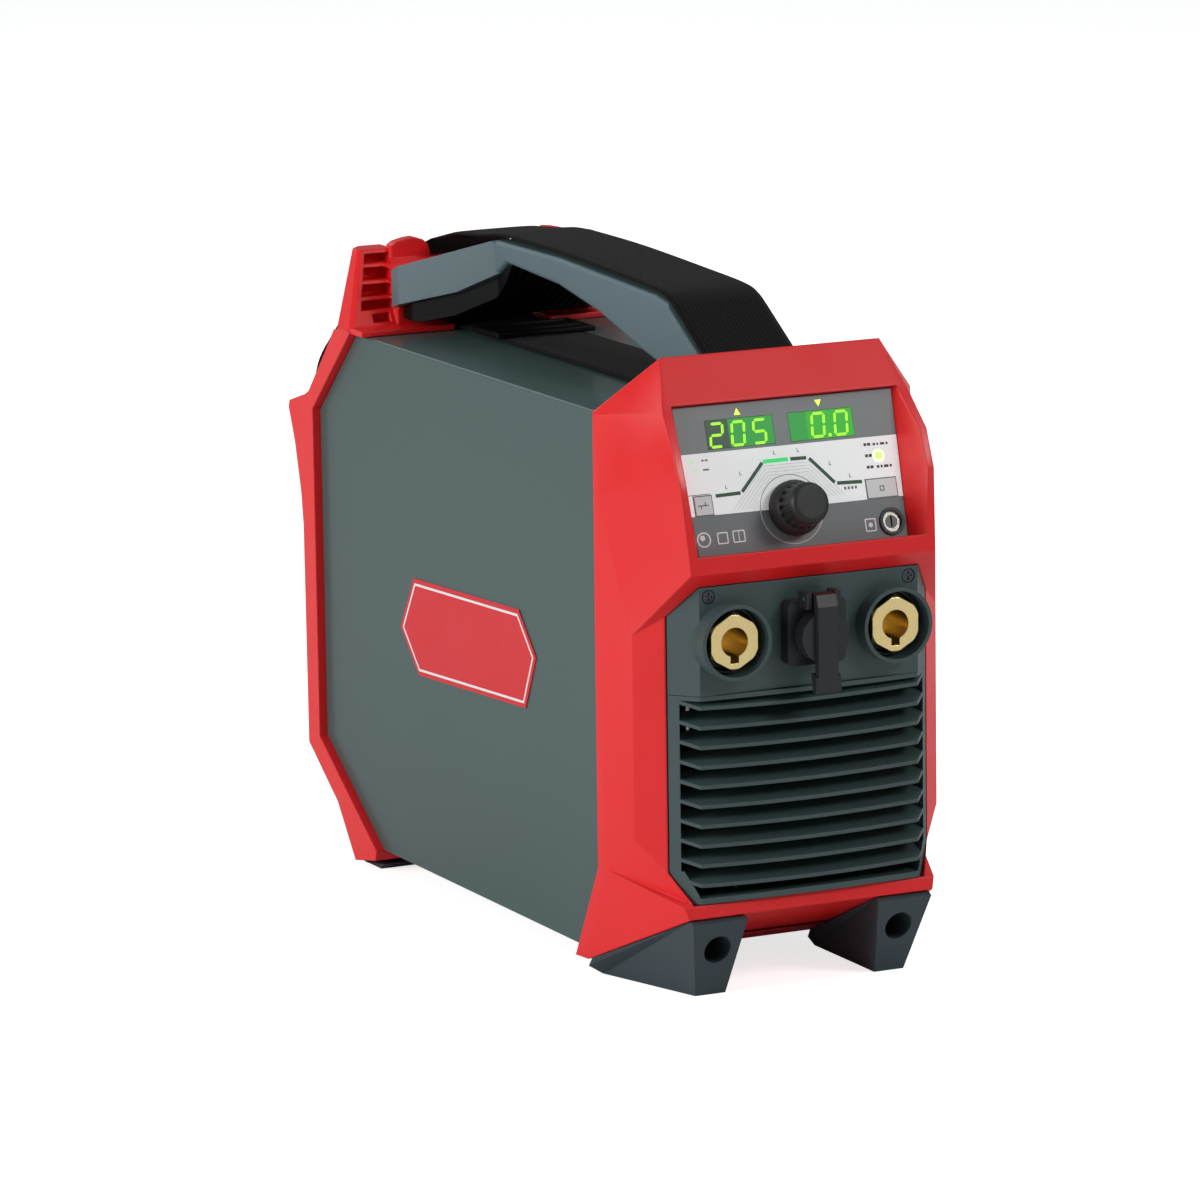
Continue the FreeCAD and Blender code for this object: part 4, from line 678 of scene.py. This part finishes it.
# Dark dashes at the right: a column of pairs, then a lower and an upper row
dashes = []
for y in (42.8, 37.7, 32.5):
    for x0, x1 in ((37.2, 38.6), (39.0, 40.6)):
        dashes.append(rect(x0, x1, y - 0.55, y + 0.75))
for x0, x1 in ((42.2, 43.6), (44.2, 45.2), (45.9, 48.2), (48.8, 49.9)):
    dashes += [rect(x0, x1, 31.9, 33.1), rect(x0 - 0.4, x1 - 0.5, 42.2, 43.3)]
prisms("legend_dashes", dashes, PRINT_LAYER, "print_dark")

# Lighter dashes (x0, x1, y), a rule over the left key, and four blocks in a row
LIGHT_DASHES = [(-44.6, -43.4, 42.9), (-42.9, -41.4, 42.9), (-44.4, -41.4, 38.7),
                (9.6, 11.2, 22.6), (11.8, 12.8, 22.6)]
light_marks = [rect(x0, x1, y - 0.35, y + 0.45) for x0, x1, y in LIGHT_DASHES]
light_marks.append(rect(-half_width(27.5) + 0.1, -42.6, 27.6, 27.95))
light_marks += [rect(x, x + 1.1, 23.6, 24.9) for x in (24.2, 26.0, 27.8, 29.6)]
prisms("legend_light", light_marks, PRINT_LAYER, "print_grey")

flat("led_halo", [circle((43.9, 37.4), 3.1, 32)], (0.055, 0.085), "led_halo")
flat("led_spot", [round_rect(42.4, 45.6, 36.0, 39.0, 0.7)], (0.09, 0.16), "led_spot_lit")
flat("led_idle_marks", [round_rect(-50.0, -47.8, 41.9, 43.7, 0.5),
                        round_rect(-49.7, -47.5, 38.0, 39.8, 0.5)], (0.05, 0.12), "led_idle")

# Keys: a printed frame round each, and a symbol that moves with its cap
for side, key in (("right", KEY_RIGHT), ("left", KEY_LEFT)):
    flat("key_frame_" + side, [grown(key, 0.4), grown(key, -0.1)], FRAME_LAYER, "print_grey")
flat("key_symbol_right", [rect(41.8, 44.2, 21.4, 23.8), rect(42.3, 43.7, 21.9, 23.3)],
     KEY_LAYER, "print_grey", body="mode_key")
flat("key_symbol_left", [rect(-49.8, -44.4, 22.6, 23.0), rect(-48.4, -48.0, 21.2, 22.6),
                         rect(-46.2, -45.8, 23.0, 24.4)],
     KEY_LAYER, "print_dark", body="process_key")

# Disc with a slot, which turns with the lock barrel
flat("lock_core", [circle(LOCK, 3.0, 32),
                   rect(LOCK[0] - 0.4, LOCK[0] + 0.4, LOCK[1] - 2.4, LOCK[1] + 2.4)],
     (-0.4, -0.25), "chrome_core", body="lock_barrel")

# White marks on the lower band
LOWER_MARKS = {
    "mark_ring": [circle((-49.0, 7.6), 3.5, 40), circle((-49.0, 7.6), 2.8, 40)],
    "mark_dot": [circle((-49.6, 8.4), 1.3, 24)],
    "mark_square_a": [round_rect(-42.3, -36.9, 4.9, 10.3, 0.6),
                      round_rect(-41.7, -37.5, 5.5, 9.7, 0.4)],
    "mark_square_b": [round_rect(-34.6, -28.4, 4.9, 10.5, 0.6),
                      round_rect(-34.0, -31.7, 5.5, 9.9, 0.3),
                      round_rect(-31.3, -29.0, 5.5, 9.9, 0.3)],
    "mark_square_c": [round_rect(32.0, 37.6, 3.6, 9.6, 0.6),
                      round_rect(32.6, 37.0, 4.2, 9.0, 0.4)],
    "mark_square_c_dot": [circle((34.8, 6.6), 1.1, 20)],
}
for name, loops in LOWER_MARKS.items():
    flat(name, loops, LOWER_MARK_LAYER, "print_white")

# Displays: glowing faces with slanted seven-bar digits
DIGIT_BARS = {"0": "abcdef", "1": "bc", "2": "abged", "3": "abgcd", "4": "fgbc",
              "5": "afgcd", "6": "afgecd", "7": "abc", "8": "abcdefg", "9": "abfgcd"}
DIGIT_HEIGHT = 10.4
DIGIT_WIDTH = 6.0
DIGIT_SLANT = 0.10
BAR_WIDTH = 1.25
BAR_GAP = 0.28                  # from a bar's tip to the corner
DIGIT_Y = 53.6
DIGIT_Y_RIGHT = DIGIT_Y + 0.3
FACE_BOTTOM, FACE_TOP = 47.6, 60.4


def digit_bar(x0, y0, x1, y1):
    """Level or upright bar with pointed ends."""
    gap, tip = BAR_GAP, BAR_WIDTH / 2
    if y0 == y1:
        return [(x0 + gap, y0), (x0 + gap + tip, y0 + tip), (x1 - gap - tip, y0 + tip),
                (x1 - gap, y0), (x1 - gap - tip, y0 - tip), (x0 + gap + tip, y0 - tip)]
    return [(x0, y0 + gap), (x0 + tip, y0 + gap + tip), (x0 + tip, y1 - gap - tip),
            (x0, y1 - gap), (x0 - tip, y1 - gap - tip), (x0 - tip, y0 + gap + tip)]


def digit(centre_x, centre_y, character):
    x, y = DIGIT_WIDTH / 2, DIGIT_HEIGHT / 2
    bars = {"a": (-x, y, x, y), "g": (-x, 0, x, 0), "d": (-x, -y, x, -y),
            "f": (-x, 0, -x, y), "e": (-x, -y, -x, 0), "b": (x, 0, x, y), "c": (x, -y, x, 0)}
    return [[(centre_x + px + DIGIT_SLANT * py, centre_y + py)
             for px, py in digit_bar(*bars[letter])] for letter in DIGIT_BARS[character]]


for letter, x0, x1, finish in (("a", -40.2, -28.9, "digit_face_off"),
                               ("b", -28.9, -6.6, "digit_face_dim"),
                               ("c", 1.4, 10.3, "digit_face_dim"),
                               ("d", 10.3, 33.6, "digit_face_lit")):
    flat("digit_face_" + letter, [rect(x0, x1, FACE_BOTTOM, FACE_TOP)], FACE_LAYER, finish)
prisms("digits_left", digit(-35.2, DIGIT_Y, "2") + digit(-24.4, DIGIT_Y, "0")
       + digit(-13.6, DIGIT_Y, "5"), DIGIT_LAYER, "digit_lit")
prisms("digits_right", digit(15.9, DIGIT_Y_RIGHT, "0") + digit(27.5, DIGIT_Y_RIGHT, "0")
       + [circle((21.2, 48.9), 0.85, 20)], DIGIT_LAYER, "digit_lit")
flat("unit_mark_left", [[(-25.1, 61.9), (-21.9, 61.9), (-23.5, 64.9)]], (0.0, 0.06),
     "unit_mark_lit")
flat("unit_mark_right", [[(15.9, 65.2), (19.1, 65.2), (17.5, 62.2)]], (0.0, 0.06),
     "unit_mark_lit")

# Disc on the knob's cap, which turns with it
flat("knob_cap_disc", [circle(KNOB, 7.2)], (20.0, 20.06), "knob_rubber",
     body="adjusting_knob")


# ==========================================================================================
# Strap webbing
# ==========================================================================================
# Centre line (x, y, z) in mm: rearward over the top, round behind, and forward underneath
STRAP_PATH = [
    (0, -132.6, 282.2), (0, -121.0, 289.6), (0, -108.0, 297.8), (0, -97.6, 303.6),
    (0, -84.0, 306.6), (0, -45.0, 308.7), (0, 15.0, 311.2), (0, 60.0, 311.9),
    (0, 84.0, 311.5), (0, 106.0, 308.8), (0, 124.0, 307.2), (-0.5, 139.0, 305.4),
    (-3.2, 158.0, 298.8), (-15, 177.0, 281.4), (-31, 190.5, 262.0), (-40.5, 202.0, 240.0),
    (-43.2, 204.2, 229.0), (-43.6, 202.6, 223.6), (-43.2, 198.4, 223.9),
    (-40.0, 190.0, 233.0), (-24.0, 165.0, 261.6), (-7.0, 152.0, 267.0),
    (-6.0, 140.0, 266.6), (-5.0, 127.0, 263.6), (-5.0, 110.0, 263.25),
    (-5.0, 20.0, 263.25), (-5.0, -60.0, 263.25), (-5.0, -132.4, 263.25)]


def catmull_rom(points, spacing):
    """Smooth path through the points, with a step about every spacing."""
    path = []
    last = len(points) - 1
    for i in range(last):
        p0, p1 = points[max(i - 1, 0)], points[i]
        p2, p3 = points[i + 1], points[min(i + 2, last)]
        steps = max(2, int((p2 - p1).length / spacing))
        for j in range(steps):
            t = j / steps
            t2, t3 = t * t, t * t * t
            path.append(0.5 * ((2 * p1) + (p2 - p0) * t + (2 * p0 - 5 * p1 + 4 * p2 - p3) * t2
                               + (3 * p1 - p0 - 3 * p2 + p3) * t3))
    path.append(points[-1])
    return path


def ribbon(name, centres, half, thickness, crown, finish, across=14, spacing=2.2):
    """Band along centres (mm), its width level along X, with thicker bands near both edges.

    crown lifts its middle. The UVs are metres across and along it.
    """
    path = catmull_rom([Vector(point) for point in centres], spacing)
    bm = bmesh.new()
    uv_layer = bm.loops.layers.uv.new("UVMap")
    # Each ring runs across one face and back across the other; both share the edge points.
    walk = [(1, -1 + 2 * j / across) for j in range(across + 1)]
    walk += [(-1, -(-1 + 2 * j / across)) for j in range(1, across)]
    rings = []
    arc = 0.0
    for i, point in enumerate(path):
        tangent = (path[min(len(path) - 1, i + 1)] - path[max(0, i - 1)]).normalized()
        lateral = Vector((1, 0, 0))
        lateral = (lateral - tangent * lateral.dot(tangent)).normalized()
        normal = lateral.cross(tangent).normalized()
        if i:
            arc += (point - path[i - 1]).length
        ring = []
        for side, s in walk:
            rounding = (1 - abs(s) ** 9) ** (1 / 3.0)
            selvedge = 0.10 * math.exp(-((abs(s) - 0.93) / 0.035) ** 2)
            offset = side * (thickness / 2 * (rounding + selvedge)) + crown * (1 - s * s)
            place = point + lateral * (s * half) + normal * offset
            ring.append((bm.verts.new(place * MM), ((s + 1) * half * MM, arc * MM)))
        rings.append(ring)
    for ring, following in zip(rings, rings[1:]):
        for j in range(len(ring)):
            k = (j + 1) % len(ring)
            corners = [ring[j], ring[k], following[k], following[j]]
            face = bm.faces.new([vert for vert, uv in corners])
            face.smooth = True
            for loop, (vert, uv) in zip(face.loops, corners):
                loop[uv_layer].uv = uv
    for ring in (rings[0], rings[-1]):
        bm.faces.new([vert for vert, uv in ring])
    return new_object(name, fill_mesh(bpy.data.meshes.new(name), bm), finish)


strap = ribbon("webbing_strap", STRAP_PATH, half=23.0, thickness=1.8, crown=0.25,
               finish="webbing")
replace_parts(strap, "carrying_strap")


# ==========================================================================================
# Dust filter mat: open foam with thinned edges and wavy faces
# ==========================================================================================
MAT_CELLS = 56                  # along X and along Z
MAT_RIM = 0.03                  # rounded rim, as a share of the width


def mat_fill(u, v):
    """Share of the full thickness at (u, v), both 0 to 1."""
    inward = min(1.0, min(u, 1 - u, v, 1 - v) / MAT_RIM)
    rim = 0.62 + 0.38 * math.sqrt(max(0.0, 1 - (1 - inward) ** 2))
    wave = (0.5 + 0.25 * math.sin(37.1 * u + 3.0 * math.sin(21.7 * v))
            + 0.25 * math.sin(41.3 * v + 2.0 * math.sin(17.9 * u)))
    return rim * (0.90 + 0.10 * wave)


def filter_mat():
    low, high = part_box("dust_filter")
    bm = bmesh.new()
    grid = {}
    for side in (0, 1):
        for i in range(MAT_CELLS + 1):
            for k in range(MAT_CELLS + 1):
                u, v = i / MAT_CELLS, k / MAT_CELLS
                bulge = (high.y - low.y) / 2 * mat_fill(u, v)
                grid[side, i, k] = bm.verts.new((
                    low.x + (high.x - low.x) * u,
                    (low.y + high.y) / 2 + (bulge if side else -bulge),
                    low.z + (high.z - low.z) * v))

    def quad(*corners):
        return bm.faces.new([grid[corner] for corner in corners])

    for side in (0, 1):
        for i in range(MAT_CELLS):
            for k in range(MAT_CELLS):
                face = quad((side, i, k), (side, i + 1, k), (side, i + 1, k + 1),
                            (side, i, k + 1))
                face.smooth = True
    for i in range(MAT_CELLS):
        for k in (0, MAT_CELLS):
            quad((0, i, k), (0, i + 1, k), (1, i + 1, k), (1, i, k))
    for k in range(MAT_CELLS):
        for i in (0, MAT_CELLS):
            quad((0, i, k), (0, i, k + 1), (1, i, k + 1), (1, i, k))
    mesh = fill_mesh(bpy.data.meshes.new("filter_mat"), bm)
    return new_object("filter_mat", mesh, "filter_foam", "filter_holder")


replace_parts(filter_mat(), "dust_filter")


# ==========================================================================================
# Badge borders: a thin white line inside each side badge's edge
# ==========================================================================================
# Badge outline (y, z) in mm, anticlockwise
BADGE = [(-52.0, 112.0), (66.0, 106.5), (86.0, 127.0), (70.0, 153.0), (-46.0, 157.5),
         (-64.0, 138.0)]
BADGE_X = 0.0766                # badge face, from the middle


def inset_outline(outline, distance):
    """Move every edge of an anticlockwise outline inward by distance."""
    points = [Vector(point) for point in outline]
    moved = []
    for i, point in enumerate(points):
        before = (point - points[i - 1]).normalized()
        after = (points[(i + 1) % len(points)] - point).normalized()
        normal_a = Vector((-before.y, before.x))
        normal_b = Vector((-after.y, after.x))
        reach = distance / (1 + normal_a.dot(normal_b))
        moved.append(tuple(point + (normal_a + normal_b) * reach))
    return moved


for side, sign in (("left", -1), ("right", 1)):
    place = Matrix(((0, 0, sign, sign * BADGE_X), (1, 0, 0, 0), (0, 1, 0, 0), (0, 0, 0, 1)))
    flat("badge_border_" + side, [inset_outline(BADGE, 2.2), inset_outline(BADGE, 3.4)],
         (0.0, 0.06), "badge_white", place=place)


# ==========================================================================================
# Stage, light, camera
# ==========================================================================================
FLOOR_HALF = 40.0


def floor_material():
    """Pale floor that glows only where the camera sees it directly."""
    shader = Shader("floor_pale")
    camera_ray = shader.add("LightPath").outputs["Is Camera Ray"]
    shader.set(Base_Color=shader.mix(shader.noise(scale=0.6), (0.88, 0.88, 0.88, 1),
                                     (0.91, 0.91, 0.91, 1)),
               Roughness=0.75, Specular_IOR_Level=0.2, Emission_Color=(1.0, 1.0, 1.0, 1.0),
               Emission_Strength=shader.calc("MULTIPLY", camera_ray, 0.74))
    return shader.material


def build_floor():
    mesh = bpy.data.meshes.new("floor")
    corners = rect(-FLOOR_HALF, FLOOR_HALF, -FLOOR_HALF, FLOOR_HALF)
    mesh.from_pydata([(x, y, 0) for x, y in corners], [], [(0, 1, 2, 3)])
    floor = bpy.data.objects.new("floor", mesh)
    scene.collection.objects.link(floor)
    mesh.materials.append(floor_material())


def build_world():
    world = bpy.data.worlds.new("studio")
    scene.world = world
    world.use_nodes = True
    background = world.node_tree.nodes["Background"]
    background.inputs["Color"].default_value = (0.96, 0.98, 1.0, 1.0)
    background.inputs["Strength"].default_value = 0.22


# name, location, target, (width, height), power in watts
AREA_LIGHTS = [
    ("key_left", (-2.9, -0.15, 1.1), (0, 0, 0.15), (1.4, 1.2), 54),
    ("key_front", (1.5, -2.3, 2.0), (0, -0.1, 0.15), (0.9, 0.9), 29),
    ("top_soft", (0.2, 0.3, 2.4), (0, 0, 0.2), (1.8, 1.8), 5),
    ("rim_right", (2.4, 0.8, 1.2), (0, 0, 0.2), (1.0, 1.4), 12),
    ("back_soft", (-0.6, 3.0, 1.6), (0, 0, 0.2), (1.8, 1.2), 9),
]


def area_light(name, location, target, size, power):
    light = bpy.data.lights.new(name, "AREA")
    light.shape = "RECTANGLE"
    light.size, light.size_y = size
    light.energy = power
    lamp = bpy.data.objects.new(name, light)
    scene.collection.objects.link(lamp)
    lamp.location = location
    aim = Vector(target) - Vector(location)
    lamp.rotation_mode = "QUATERNION"
    lamp.rotation_quaternion = aim.to_track_quat("-Z", "Y")


CAMERA_PLACE = (-1.41613, -2.87940, 0.77242)
CAMERA_AZIMUTH = math.radians(-26.198)      # from straight ahead, negative to the left
CAMERA_ELEVATION = math.radians(11.239)
CAMERA_ROLL = math.radians(-0.788)


def build_camera():
    lens_data = bpy.data.cameras.new("camera")
    camera = bpy.data.objects.new("camera", lens_data)
    scene.collection.objects.link(camera)
    azimuth, elevation, roll = CAMERA_AZIMUTH, CAMERA_ELEVATION, CAMERA_ROLL
    back = Vector((math.sin(azimuth) * math.cos(elevation),
                   -math.cos(azimuth) * math.cos(elevation), math.sin(elevation)))
    level = Vector((math.cos(azimuth), math.sin(azimuth), 0))
    upright = back.cross(level)
    right = math.cos(roll) * level + math.sin(roll) * upright
    up = -math.sin(roll) * level + math.cos(roll) * upright
    rows = list(zip(right, up, back, CAMERA_PLACE))
    camera.matrix_world = Matrix((*rows, (0, 0, 0, 1)))
    lens_data.sensor_width = 36.0
    lens_data.lens = 208.041
    lens_data.shift_x = -0.0206
    lens_data.shift_y = 0.0206
    lens_data.clip_start = 0.05
    lens_data.clip_end = 200.0
    scene.camera = camera


build_floor()
build_world()
for row in AREA_LIGHTS:
    area_light(*row)
build_camera()
scene.view_settings.view_transform = "Standard"
scene.view_settings.look = "None"
